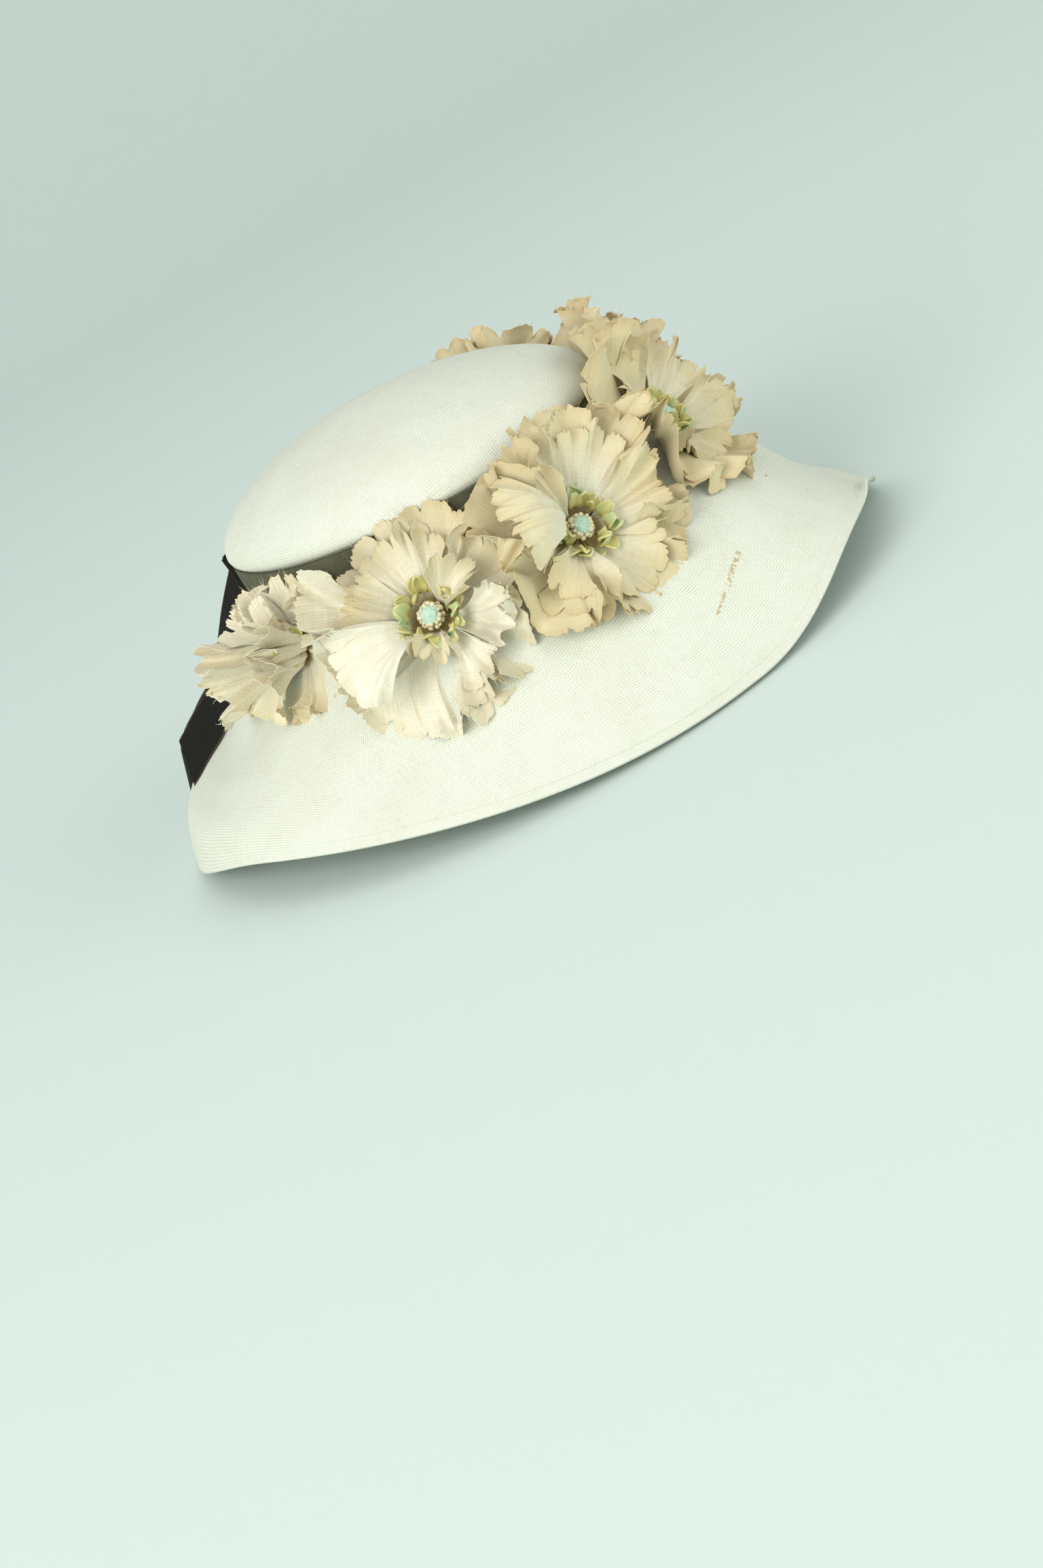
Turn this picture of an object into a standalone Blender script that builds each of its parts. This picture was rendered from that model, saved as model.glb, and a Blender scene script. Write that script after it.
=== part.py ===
# Tilt hat of woven straw with a shallow oval crown and a deep drooping brim.
# A ribbon band goes round the crown and ends in three tails at the back, and a row of
# cloth flowers is sewn round the right side, the front and the left side.
# Units are metres. The hat lies on its rim: Z is up, -Y is the wearer's front and -X the
# wearer's right. A heading is an angle from the front, positive towards the wearer's right.

import math

import bmesh
import bpy
from mathutils import Matrix, Vector

# Driving sizes
HEAD_LENGTH = 0.188  # inside the crown, front to back
HEAD_WIDTH = 0.160  # inside the crown, side to side
STRAW = 0.0015  # wall of woven straw
RIBBON = 0.0010  # ribbon, doubled at its edges
CLOTH = 0.0010  # starched petal cloth
FIT = 0.0003  # clearance between pieces that touch
FOOT_HEIGHT = 0.0900  # crown's foot above the surface that the rim lies on
COLLAR_HEIGHT = 0.0100  # brim's upstand around the crown's foot
BAND_HEIGHT = 0.0250
CROWN_RISE = 0.0370  # crown's tip above the band
CROWN_OVERHANG = 0.0003  # crown's fullest line outside the band
SHOULDER_RISE = 0.0030  # that line's height above the band
SHOULDER_FULLNESS = 1.85  # exponent of the crown's shoulder curve, 2 is an ellipse
TIP_FLAT = 0.0120  # radius of the level middle of the tip
DOME_STEPS = (76, 60, 45, 31, 18, 8, 0)  # degrees up the shoulder curve where rows lie
BRIM_REACH = 0.0870  # brim's plain width, seen from above

FACETS = 52  # around the crown, the band and the brim, so that they stay parallel

# Brim sections. Reach is a share of BRIM_REACH, and fall_25 to fall_92 are the share of
# the whole fall that the section has fallen at 25, 50, 75 and 92 per cent of its reach.
SECTION_COLUMNS = ("heading", "reach", "fall_25", "fall_50", "fall_75", "fall_92")
BRIM_SECTIONS = [
    dict(zip(SECTION_COLUMNS, row))
    for row in (
        (0, 0.96, 0.22, 0.48, 0.75, 0.93),
        (45, 0.92, 0.23, 0.49, 0.76, 0.93),
        (90, 0.96, 0.24, 0.50, 0.74, 0.90),
        (135, 1.00, 0.26, 0.52, 0.66, 0.78),
        (180, 0.94, 0.26, 0.52, 0.68, 0.80),
        (225, 0.94, 0.24, 0.50, 0.73, 0.90),
        (270, 0.98, 0.22, 0.47, 0.75, 0.92),
        (315, 1.04, 0.18, 0.42, 0.77, 0.93),
    )
]

# Waves of the rim between its four resting places. Before and after are the headings
# where a wave starts and ends, and lift is a share of FOOT_HEIGHT.
WAVE_COLUMNS = ("before", "top", "after", "lift")
RIM_WAVES = [
    dict(zip(WAVE_COLUMNS, row))
    for row in (
        (-42, -11, 20, 0.197),
        (26, 102, 143, 0.191),
        (143, 188, 232, 0.085),
        (232, 276, 318, 0.090),
    )
]
FALL_STATIONS = (0.0, 0.25, 0.50, 0.75, 0.92, 1.0)
BRIM_ROWS = (0.0, 0.12, 0.25, 0.38, 0.50, 0.63, 0.76, 0.90, 1.0)

# Ribbon knot and tails. Start and end are headings, reach is the share of the brim's
# reach that the tail covers, the lifts are its lower edge's heights above the brim, and
# tilt is how far it stands up from the brim on that edge.
KNOT_HEADING = 164.0
KNOT_WIDTH = 0.0280
KNOT_DEPTH = 0.0060
KNOT_ROUNDING = 0.0021
TAIL_WIDTH = 0.0260
TAIL_ROWS = 9
TAIL_COLUMNS = ("name", "start", "end", "reach", "start_lift", "end_lift", "tilt")
TAILS = [
    dict(zip(TAIL_COLUMNS, row))
    for row in (
        ("ribbon_tail_upper", 156, 150, 0.88, 0.0120, 0.0040, 38),
        ("ribbon_tail_middle", 162, 160, 0.93, 0.0080, 0.0030, 38),
        ("ribbon_tail_lower", 168, 172, 0.90, 0.0040, 0.0010, 30),
    )
]

# Flowers. Out and rise place a flower's back from the band and from the brim's root,
# face is how far it looks up, turn spins it and radius is a share of FLOWER_RADIUS.
FLOWER_RADIUS = 0.0470
FLOWER_COLUMNS = ("name", "heading", "out", "rise", "face", "turn", "radius")
FLOWERS = [
    dict(zip(FLOWER_COLUMNS, row))
    for row in (
        ("flower_a", 102, 0.0130, -0.0060, 25, 20, 0.86),
        ("flower_b", 60, 0.0150, -0.0140, 34, 55, 1.04),
        ("flower_c", 23, 0.0160, -0.0120, 30, 5, 1.02),
        ("flower_d", -19, 0.0150, -0.0040, 32, 40, 1.04),
        ("flower_e", -56, 0.0140, 0.0050, 12, 15, 1.06),
        ("flower_f", -98, 0.0130, 0.0080, 10, 30, 1.02),
    )
]
PETAL_FACETS = 30
PETAL_ROWS = (0.10, 0.40, 0.70, 1.0)  # rows of the outer petals, as shares of their radius
INNER_ROWS = 3  # the first rows, which the inner petals have too
PETALS = 5
PETAL_DENT = 0.10  # depth of the dent between petals, as a share of the radius
TOOTH = 0.02  # depth of the edge's teeth, as a share of the radius
TEETH = 9  # waves of those teeth around a flower
RUFFLE = 0.0030  # height of the ruffles at the petals' edge
CROWDED = 0.90  # share of a flower's room at which its petals start to fold up
CROWD_SQUEEZE = 0.18  # how much of the width beyond that stays width
CROWD_LIFT = 0.85  # how much of it becomes height
CUP = 0.16  # how far the outer petals rise at their edge, as a share of the radius
INNER_CUP = 0.09  # how much further the inner petals rise at their edge
SAG = 0.0012  # how far a petal's flat facets may dip between the points that clear the hat
LAYER_RISE = 0.0028  # how much further the inner petals stand off at their edge
STAMEN_RADIUS = 0.0130
STAMEN_NOTCH = 0.0096  # radius between two leaves
STAMEN_EYE = 0.0065  # radius of the level middle that carries the button
STAMEN_LEAVES = 10
STAMEN_RISE = 0.0045
BUTTON_RADIUS = 0.0055
BUTTON_HEIGHT = 0.0050

# Colours as linear red, green, blue, with roughness
STRAW_COLOUR = (0.84, 0.81, 0.70)
RIBBON_COLOUR = (0.035, 0.033, 0.026)
PETAL_COLOUR = (0.78, 0.68, 0.47)
STAMEN_COLOUR = (0.50, 0.52, 0.22)
BUTTON_COLOUR = (0.42, 0.62, 0.53)


def material(name, colour, roughness):
    made = bpy.data.materials.new(name)
    made.use_nodes = True
    shader = made.node_tree.nodes["Principled BSDF"]
    shader.inputs["Base Color"].default_value = (*colour, 1.0)
    shader.inputs["Roughness"].default_value = roughness
    shader.inputs["Metallic"].default_value = 0.0
    made.diffuse_color = (*colour, 1.0)
    return made


def smooth_through(stations, values, where):
    """Cubic curve through the values at the stations."""
    last = len(stations) - 1
    k = 0
    while k < last - 1 and where > stations[k + 1]:
        k += 1
    slopes = []
    for j in (k, k + 1):
        before, after = max(j - 1, 0), min(j + 1, last)
        slopes.append((values[after] - values[before]) / (stations[after] - stations[before]))
    span = stations[k + 1] - stations[k]
    u = (where - stations[k]) / span
    start = values[k] * (1 + 2 * u) * (1 - u) ** 2 + slopes[0] * span * u * (1 - u) ** 2
    end = values[k + 1] * u * u * (3 - 2 * u) - slopes[1] * span * u * u * (1 - u)
    return start + end


def section_value(column, heading):
    """A column of the brim's sections at any heading, smooth all the way round."""
    step = 360 / len(BRIM_SECTIONS)
    count = len(BRIM_SECTIONS)
    at = (heading % 360) / step
    first = int(at) - 1
    near = [BRIM_SECTIONS[(first + k) % count][column] for k in range(4)]
    return smooth_through((0, 1, 2, 3), near, at - first)


def rim_lift(heading):
    """Height of the rim over the surface that its resting places lie on."""
    for wave in RIM_WAVES:
        for turn in (0, 360):
            off = heading % 360 + turn - 360 - wave["top"]
            side = "before" if off < 0 else "after"
            spread = wave[side] - wave["top"]
            if 0 <= off / spread < 1:
                return wave["lift"] * FOOT_HEIGHT * math.cos(off / spread * math.pi / 2) ** 2
    return 0.0


def out_from_front(heading):
    """Level unit vector along a heading."""
    angle = math.radians(heading)
    return Vector((-math.sin(angle), -math.cos(angle), 0.0))


def heading_of(point):
    return math.degrees(math.atan2(-point.x, -point.y))


def head_radius(heading):
    """Inside of the crown's foot, an oval."""
    angle = math.radians(heading)
    half_width, half_length = HEAD_WIDTH / 2, HEAD_LENGTH / 2
    across = half_length * math.sin(angle)
    along = half_width * math.cos(angle)
    return half_width * half_length / math.hypot(across, along)


def squarely_out(heading):
    """Heading of the line that leaves the head's oval at a right angle there."""
    angle = math.radians(heading)
    side = math.sin(angle) / HEAD_WIDTH**2
    front = math.cos(angle) / HEAD_LENGTH**2
    return math.degrees(math.atan2(side, front))


COLLAR_OUTSIDE = STRAW + FIT + STRAW
BAND_OUTSIDE = COLLAR_OUTSIDE + FIT + RIBBON
CROWN_FULLEST = BAND_OUTSIDE + CROWN_OVERHANG
BAND_FOOT = FOOT_HEIGHT + FIT
BAND_TOP = BAND_FOOT + BAND_HEIGHT
TIP_HEIGHT = BAND_TOP + CROWN_RISE


def brim_radius(heading, share):
    """Distance from the middle to the brim's top at a share of its reach."""
    root = head_radius(heading) + COLLAR_OUTSIDE
    return root + share * BRIM_REACH * section_value("reach", heading)


def brim_height(heading, share):
    """Height of the brim's top at a share of its reach."""
    falls = [0.0]
    falls += [section_value(column, heading) for column in SECTION_COLUMNS[2:]]
    falls.append(1.0)
    rim = STRAW + rim_lift(heading)
    return FOOT_HEIGHT - smooth_through(FALL_STATIONS, falls, share) * (FOOT_HEIGHT - rim)


def brim_share(heading, radius):
    """Share of the brim's reach at a distance from the middle."""
    root = brim_radius(heading, 0.0)
    return (radius - root) / (brim_radius(heading, 1.0) - root)


def brim_top(point):
    """Height of the brim's top under a point, held level past its root and its rim."""
    heading = heading_of(point)
    share = brim_share(heading, math.hypot(point.x, point.y))
    return brim_height(heading, min(max(share, 0.0), 1.0))


def crown_profile():
    """Dome from the tip down to its fullest line, as share of that line's radius and height."""
    dome_rise = CROWN_RISE - SHOULDER_RISE
    shoulder = BAND_TOP + SHOULDER_RISE
    rows = []
    for steps in DOME_STEPS:
        angle = math.radians(steps)
        share = math.cos(angle) ** (2 / SHOULDER_FULLNESS)
        rise = math.sin(angle) ** (2 / SHOULDER_FULLNESS)
        rows.append((share, shoulder + dome_rise * rise))
    return rows


def crown_radius(heading, height):
    """Outside of the crown or the band at a height."""
    if height >= TIP_HEIGHT:
        return 0.0
    fullest = head_radius(heading) + CROWN_FULLEST
    shoulder = BAND_TOP + SHOULDER_RISE
    if height <= shoulder:
        return fullest
    rise = (height - shoulder) / (CROWN_RISE - SHOULDER_RISE)
    return fullest * (1 - rise**SHOULDER_FULLNESS) ** (1 / SHOULDER_FULLNESS)


def mapped_grid(name, across, along, place):
    """A grid primitive whose points are moved to place(column, row), with its seam welded."""
    mesh = bpy.data.meshes.new(name)
    body = bmesh.new()
    bmesh.ops.create_grid(body, x_segments=across, y_segments=along, size=0.5)
    for vertex in body.verts:
        column = round((vertex.co.x + 0.5) * across)
        row = round((vertex.co.y + 0.5) * along)
        vertex.co = place(column, row)
    bmesh.ops.remove_doubles(body, verts=body.verts, dist=1e-6)
    body.to_mesh(mesh)
    body.free()
    return bpy.data.objects.new(name, mesh)


def thicken(piece, thickness, side):
    """A wall on the side that the surface's normals show, or on the other one."""
    wall = piece.modifiers.new("wall", "SOLIDIFY")
    wall.thickness = thickness
    wall.offset = side
    wall.use_even_offset = True
    wall.use_quality_normals = True


def finish(piece, look, collection, parent=None):
    piece.data.materials.append(look)
    piece.data.shade_smooth()
    piece.data.set_sharp_from_angle(angle=math.radians(40))
    piece.parent = parent
    collection.objects.link(piece)
    return piece


def crown(collection, look):
    dome = crown_profile()
    wall = (
        (CROWN_FULLEST - STRAW / 2, BAND_TOP + SHOULDER_RISE / 3),
        (STRAW, BAND_TOP - FIT),
        (STRAW, FOOT_HEIGHT),
    )

    def place(column, row):
        heading = 360 * column / FACETS
        if row < 2:
            point = out_from_front(heading) * TIP_FLAT * row
            point.z = TIP_HEIGHT
            return point
        if row < len(dome) + 2:
            share, height = dome[row - 2]
            radius = share * (head_radius(heading) + CROWN_FULLEST)
        else:
            beyond, height = wall[row - 2 - len(dome)]
            radius = head_radius(heading) + beyond
        point = out_from_front(heading) * radius
        point.z = height
        return point

    piece = mapped_grid("crown", FACETS, 1 + len(dome) + len(wall), place)
    thicken(piece, STRAW, -1)
    return finish(piece, look, collection)


def brim(collection, look):
    rows = len(BRIM_ROWS)

    def place(column, row):
        heading = 360 * column / FACETS
        share = BRIM_ROWS[max(row - 1, 0)]
        point = out_from_front(heading) * brim_radius(heading, share)
        point.z = brim_height(heading, share) + (COLLAR_HEIGHT if row == 0 else 0.0)
        return point

    piece = mapped_grid("brim", FACETS, rows, place)
    thicken(piece, STRAW, -1)
    return finish(piece, look, collection)


def band(collection, look):
    def place(column, row):
        heading = 360 * column / FACETS
        point = out_from_front(heading) * (head_radius(heading) + BAND_OUTSIDE)
        point.z = BAND_TOP - row * BAND_HEIGHT
        return point

    piece = mapped_grid("ribbon_band", FACETS, 1, place)
    thicken(piece, RIBBON, -1)
    return finish(piece, look, collection)


def knot_seat():
    """Where the knot lies against the band, and the way it faces."""
    facing = squarely_out(KNOT_HEADING)
    seat = head_radius(KNOT_HEADING) + BAND_OUTSIDE
    seat_point = out_from_front(KNOT_HEADING) * seat + out_from_front(facing) * FIT
    return seat_point, facing


def ribbon_knot(collection, look):
    """The fold of ribbon that the tails come out of, against the band at the back."""
    mesh = bpy.data.meshes.new("ribbon_knot")
    body = bmesh.new()
    bmesh.ops.create_cube(body, size=1.0)
    for vertex in body.verts:
        side = vertex.co.x * KNOT_WIDTH
        depth = (vertex.co.y + 0.5) * KNOT_DEPTH
        height = vertex.co.z * (BAND_HEIGHT - 2 * FIT)
        vertex.co = Vector((side, depth, height))
    body.to_mesh(mesh)
    body.free()
    piece = bpy.data.objects.new("ribbon_knot", mesh)
    rounded = piece.modifiers.new("rounded", "BEVEL")
    rounded.width = KNOT_ROUNDING
    rounded.segments = 2
    piece.location, facing = knot_seat()
    piece.location.z = BAND_FOOT + BAND_HEIGHT / 2
    piece.rotation_euler = (0, 0, math.radians(180 - facing))
    return finish(piece, look, collection)


def ribbon_tail(tail, collection, look):
    tilt = math.radians(tail["tilt"])
    seat_point, facing = knot_seat()
    away = out_from_front(facing)
    knot_outside = seat_point.dot(away) + KNOT_DEPTH + FIT

    def place(column, row):
        along = row / TAIL_ROWS
        heading = tail["start"] + (tail["end"] - tail["start"]) * along
        out = out_from_front(heading)
        first = brim_share(heading, knot_outside / out.dot(away))
        edge = out * brim_radius(heading, first + (tail["reach"] - first) * along)
        across = column / 2 * TAIL_WIDTH
        point = edge + out_from_front(heading + 90) * across * math.cos(tilt)
        point += away * max(knot_outside - point.dot(away), 0)
        lift = tail["start_lift"] + (tail["end_lift"] - tail["start_lift"]) * along
        point.z = brim_top(edge) + lift + across * math.sin(tilt)
        point.z = max(point.z, brim_top(point) + FIT)
        return point

    piece = mapped_grid(tail["name"], 2, TAIL_ROWS, place)
    thicken(piece, RIBBON, 1)
    return finish(piece, look, collection)


def clear_height(frame, x, y, height, spare):
    """The height over a flower's back at which a point of it clears the hat by spare."""
    while height < FLOWER_RADIUS:
        point = frame @ Vector((x, y, height))
        over_brim = point.z - brim_top(point)
        inside = math.hypot(point.x, point.y)
        off_crown = inside - crown_radius(heading_of(point), point.z)
        if over_brim >= spare and off_crown >= spare:
            break
        height += CLOTH / 2
    return height


def flower_frame(flower):
    """Place of a flower: its Z looks out of the flower and its Y up the crown."""
    heading = flower["heading"]
    face = math.radians(flower["face"])
    outward = out_from_front(heading)
    look = outward * math.cos(face) + Vector((0, 0, math.sin(face)))
    up = Vector((0, 0, math.cos(face))) - outward * math.sin(face)
    side = up.cross(look)
    place = outward * (head_radius(heading) + BAND_OUTSIDE + flower["out"])
    place.z = FOOT_HEIGHT + flower["rise"]
    turned = Matrix((side, up, look)).transposed().to_4x4()
    return Matrix.Translation(place) @ turned


def half_room(index):
    """Half of the room that a flower has beside its neighbours, to its left and right."""
    rooms = []
    here = FLOWERS[index]
    radius = head_radius(here["heading"]) + BAND_OUTSIDE + here["out"]
    for other in (index - 1, index + 1):
        if 0 <= other < len(FLOWERS):
            apart = abs(FLOWERS[other]["heading"] - here["heading"])
            rooms.append(radius * math.tan(math.radians(apart) / 2) - FIT)
        else:
            rooms.append(FLOWER_RADIUS * here["radius"])
    return rooms


def petal_edge(angle, turn):
    """Radius of a flower's edge as a share, dented between its petals."""
    wave = abs(math.sin(PETALS * (angle - turn) / 2))
    tooth = TOOTH * math.sin(angle * TEETH + turn * PETALS)
    return 1 - PETAL_DENT * (1 - wave) ** 2 + tooth


def rest_point(index, frame, angle, reach, radius):
    """Where a point of the petals lies in its flower, clear of the hat and the neighbours."""
    flower = FLOWERS[index]
    share = reach / radius
    x, y = reach * math.cos(angle), reach * math.sin(angle)
    height = CUP * radius * share**2
    height += RUFFLE * share**3 * math.sin(PETALS * angle + flower["turn"])
    left, right = half_room(index)
    room = (right if x > 0 else left) * CROWDED
    crowd = abs(x) - room
    if crowd > 0:
        x = math.copysign(room + crowd * CROWD_SQUEEZE, x)
        height += crowd * CROWD_LIFT
    return Vector((x, y, clear_height(frame, x, y, height, CLOTH + SAG)))


def petal_points(index, frame, angle, turn, radius):
    """The petals' rows at an angle, with the straight lines between them clear too."""
    points = []
    shares = []
    for share in PETAL_ROWS:
        shares.append(share * (1 + (petal_edge(angle, turn) - 1) * share**2))
        point = rest_point(index, frame, angle, shares[-1] * radius, radius)
        if points:
            between = (shares[-2] + shares[-1]) / 2 * radius
            middle = rest_point(index, frame, angle, between, radius)
            point.z = max(point.z, 2 * middle.z - points[-1].z)
        points.append(point)
    return points


def flower_pieces(index, collection, looks):
    flower = FLOWERS[index]
    frame = flower_frame(flower)
    turn = math.radians(flower["turn"])
    radius = FLOWER_RADIUS * flower["radius"]
    holder = bpy.data.objects.new(flower["name"], None)
    holder.matrix_world = frame
    collection.objects.link(holder)

    def outer_place(column, row):
        angle = math.tau * column / PETAL_FACETS
        return petal_points(index, frame, angle, turn, radius)[row]

    def inner_place(column, row):
        angle = math.tau * column / PETAL_FACETS
        point = petal_points(index, frame, angle, turn + math.pi / PETALS, radius)[row]
        share = PETAL_ROWS[row] / PETAL_ROWS[INNER_ROWS - 1]
        point.z += CLOTH + 2 * FIT + LAYER_RISE * share
        point.z += INNER_CUP * radius * share**3
        point.z += RUFFLE * 0.5 * share**3 * (1 + math.sin(PETALS * (angle + turn)))
        return point

    def inner_height(angle, reach):
        """Height of the inner petals' faceted back at a distance from the flower's axis."""
        column = angle / math.tau * PETAL_FACETS
        for row in range(1, INNER_ROWS):
            near, far = inner_place(column, row - 1), inner_place(column, row)
            start, end = math.hypot(near.x, near.y), math.hypot(far.x, far.y)
            if reach <= end:
                break
        return near.z + (far.z - near.z) * max(reach - start, 0) / (end - start)

    leaf_points = 2 * STAMEN_LEAVES
    angles = [math.tau * column / PETAL_FACETS for column in range(PETAL_FACETS)]
    over_inner = CLOTH + SAG / 2 + FIT
    stamen_seat = max(inner_height(angle, STAMEN_EYE) for angle in angles) + over_inner

    def stamen_place(column, row):
        angle = math.tau * column / leaf_points
        tip = STAMEN_RADIUS if column % 2 else STAMEN_NOTCH
        reach = (0.0, STAMEN_EYE, tip)[row]
        point = Vector((math.cos(angle), math.sin(angle), 0)) * reach
        point.z = stamen_seat
        if row == 2:
            point.z = max(
                stamen_seat + STAMEN_RISE, inner_height(angle, reach) + over_inner
            )
        return point

    outer = mapped_grid(
        flower["name"] + "_outer_petals", PETAL_FACETS, len(PETAL_ROWS) - 1, outer_place
    )
    thicken(outer, CLOTH, 1)
    inner = mapped_grid(
        flower["name"] + "_inner_petals", PETAL_FACETS, INNER_ROWS - 1, inner_place
    )
    thicken(inner, CLOTH, 1)
    stamens = mapped_grid(flower["name"] + "_stamens", leaf_points, 2, stamen_place)
    thicken(stamens, CLOTH, 1)
    mesh = bpy.data.meshes.new(flower["name"] + "_button")
    body = bmesh.new()
    bmesh.ops.create_uvsphere(body, u_segments=10, v_segments=6, radius=1.0)
    for vertex in body.verts:
        vertex.co.x *= BUTTON_RADIUS
        vertex.co.y *= BUTTON_RADIUS
        vertex.co.z = stamen_seat + FIT + (vertex.co.z + 1) * BUTTON_HEIGHT / 2
    body.to_mesh(mesh)
    body.free()
    button = bpy.data.objects.new(flower["name"] + "_button", mesh)
    for piece, look in zip((outer, inner, stamens, button), looks):
        finish(piece, look, collection, holder)


def build():
    for old in list(bpy.data.objects):
        bpy.data.objects.remove(old)
    hat = bpy.data.collections.new("tilt_hat")
    bpy.context.scene.collection.children.link(hat)
    straw = material("straw", STRAW_COLOUR, 0.55)
    ribbon = material("ribbon", RIBBON_COLOUR, 0.7)
    petal = material("petal_cloth", PETAL_COLOUR, 0.85)
    stamen = material("stamens", STAMEN_COLOUR, 0.7)
    button = material("button", BUTTON_COLOUR, 0.9)
    crown(hat, straw)
    brim(hat, straw)
    band(hat, ribbon)
    ribbon_knot(hat, ribbon)
    for tail in TAILS:
        ribbon_tail(tail, hat, ribbon)
    for index in range(len(FLOWERS)):
        flower_pieces(index, hat, (petal, petal, stamen, button))


build()
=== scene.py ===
# Tilt hat of ivory woven straw with a grosgrain band, ribbon tails and a row of cloth flowers.
# Metres, Z up. The hat lies on its rim, -Y is the wearer's front and -X the wearer's right.
# A heading is an angle from the front, positive towards the wearer's right.
import math
import bpy
import numpy as np
from mathutils import Matrix, Vector, noise
from mathutils.bvhtree import BVHTree


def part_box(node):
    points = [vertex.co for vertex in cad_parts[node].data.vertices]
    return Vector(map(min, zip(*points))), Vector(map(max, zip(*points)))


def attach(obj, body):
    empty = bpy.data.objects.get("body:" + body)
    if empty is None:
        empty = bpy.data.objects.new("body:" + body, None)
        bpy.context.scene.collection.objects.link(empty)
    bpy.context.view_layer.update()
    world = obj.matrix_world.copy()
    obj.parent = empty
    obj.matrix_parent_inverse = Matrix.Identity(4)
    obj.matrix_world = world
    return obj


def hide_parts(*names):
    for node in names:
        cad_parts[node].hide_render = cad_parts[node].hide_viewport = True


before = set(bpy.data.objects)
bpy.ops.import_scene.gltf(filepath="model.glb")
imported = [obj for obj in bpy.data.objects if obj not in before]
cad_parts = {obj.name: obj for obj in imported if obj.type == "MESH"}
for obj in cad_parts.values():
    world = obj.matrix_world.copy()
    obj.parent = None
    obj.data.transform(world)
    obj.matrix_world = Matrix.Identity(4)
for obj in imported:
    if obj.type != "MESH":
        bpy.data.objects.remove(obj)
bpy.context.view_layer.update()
print("frame loaded:", len(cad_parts), "nodes")

hat = {
    "headLength": 0.188, "headWidth": 0.160, "straw": 0.0015, "ribbon": 0.0010, "fit": 0.0003,
    "footHeight": 0.0900, "collarHeight": 0.0100, "bandHeight": 0.0250,
    "crownRise": 0.0370, "crownOverhang": 0.0003, "shoulderRise": 0.0030, "shoulderFullness": 1.85,
    "tipFlat": 0.0120, "brimReach": 0.0870,
}
collarOutside = 2 * hat["straw"] + hat["fit"]
bandOutside = collarOutside + hat["fit"] + hat["ribbon"]
crownFullest = bandOutside + hat["crownOverhang"]
bandFoot = hat["footHeight"] + hat["fit"]
bandTop = bandFoot + hat["bandHeight"]
tipHeight = bandTop + hat["crownRise"]

# heading, reach, then the share of the fall at 25, 50, 75 and 92 per cent of the reach
brimSections = np.array([
    (0, 0.96, 0.22, 0.48, 0.75, 0.93),
    (45, 0.92, 0.23, 0.49, 0.76, 0.93),
    (90, 0.96, 0.24, 0.50, 0.74, 0.90),
    (135, 1.00, 0.26, 0.52, 0.66, 0.78),
    (180, 0.94, 0.26, 0.52, 0.68, 0.80),
    (225, 0.94, 0.24, 0.50, 0.73, 0.90),
    (270, 0.98, 0.22, 0.47, 0.75, 0.92),
    (315, 1.04, 0.18, 0.42, 0.77, 0.93),
])
fallStations = np.array((0.0, 0.25, 0.50, 0.75, 0.92, 1.0))
rimWaves = ((-42, -11, 20, 0.197), (26, 102, 143, 0.191), (143, 188, 232, 0.085), (232, 276, 318, 0.090))


def sectionValue(column, heading):
    at = (heading % 360) / 45
    first = np.floor(at).astype(int)
    part = at - first
    near = [brimSections[(first + k - 1) % 8, column] for k in range(4)]
    rise, fall = (near[2] - near[0]) / 2, (near[3] - near[1]) / 2
    start = near[1] * (1 + 2 * part) * (1 - part) ** 2 + rise * part * (1 - part) ** 2
    return start + near[2] * part**2 * (3 - 2 * part) - fall * part**2 * (1 - part)


def rimLift(heading):
    lift = np.zeros_like(heading)
    for before, top, after, height in rimWaves:
        for turn in (0, 360):
            off = heading % 360 + turn - 360 - top
            off = np.where(off < 0, off / (before - top), off / (after - top))
            here = (off >= 0) & (off < 1)
            lift = np.where(here, height * hat["footHeight"] * np.cos(off * np.pi / 2) ** 2, lift)
    return lift


def headRadius(heading):
    angle = np.radians(heading)
    halfWidth, halfLength = hat["headWidth"] / 2, hat["headLength"] / 2
    return halfWidth * halfLength / np.hypot(halfLength * np.sin(angle), halfWidth * np.cos(angle))


def outFrom(heading):
    angle = np.radians(heading)
    return np.stack([-np.sin(angle), -np.cos(angle), np.zeros_like(angle)], axis=-1)


def brimRadius(heading, share):
    return headRadius(heading) + collarOutside + share * hat["brimReach"] * sectionValue(1, heading)


def brimHeight(heading, share):
    heading, share = np.broadcast_arrays(heading, share)
    falls = [np.zeros_like(heading)] + [sectionValue(k, heading) for k in range(2, 6)]
    falls = np.stack(falls + [np.ones_like(heading)])
    last = len(fallStations) - 1
    before, after = np.maximum(np.arange(last + 1) - 1, 0), np.minimum(np.arange(last + 1) + 1, last)
    gaps = (fallStations[after] - fallStations[before]).reshape(-1, *[1] * heading.ndim)
    slopes = (falls[after] - falls[before]) / gaps
    k = np.clip(np.searchsorted(fallStations, share, side="left") - 1, 0, last - 1)
    span = fallStations[k + 1] - fallStations[k]
    part = (share - fallStations[k]) / span
    pick = lambda table, row: np.take_along_axis(table, row[None], axis=0)[0]
    fall = pick(falls, k) * (1 + 2 * part) * (1 - part) ** 2
    fall = fall + pick(slopes, k) * span * part * (1 - part) ** 2
    fall = fall + pick(falls, k + 1) * part**2 * (3 - 2 * part)
    fall = fall - pick(slopes, k + 1) * span * part**2 * (1 - part)
    return hat["footHeight"] - fall * (hat["footHeight"] - hat["straw"] - rimLift(heading))


def brimTop(points):
    heading = np.degrees(np.arctan2(-points[..., 0], -points[..., 1]))
    root, rim = brimRadius(heading, 0.0), brimRadius(heading, 1.0)
    share = (np.hypot(points[..., 0], points[..., 1]) - root) / (rim - root)
    return brimHeight(heading, np.clip(share, 0, 1))


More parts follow.
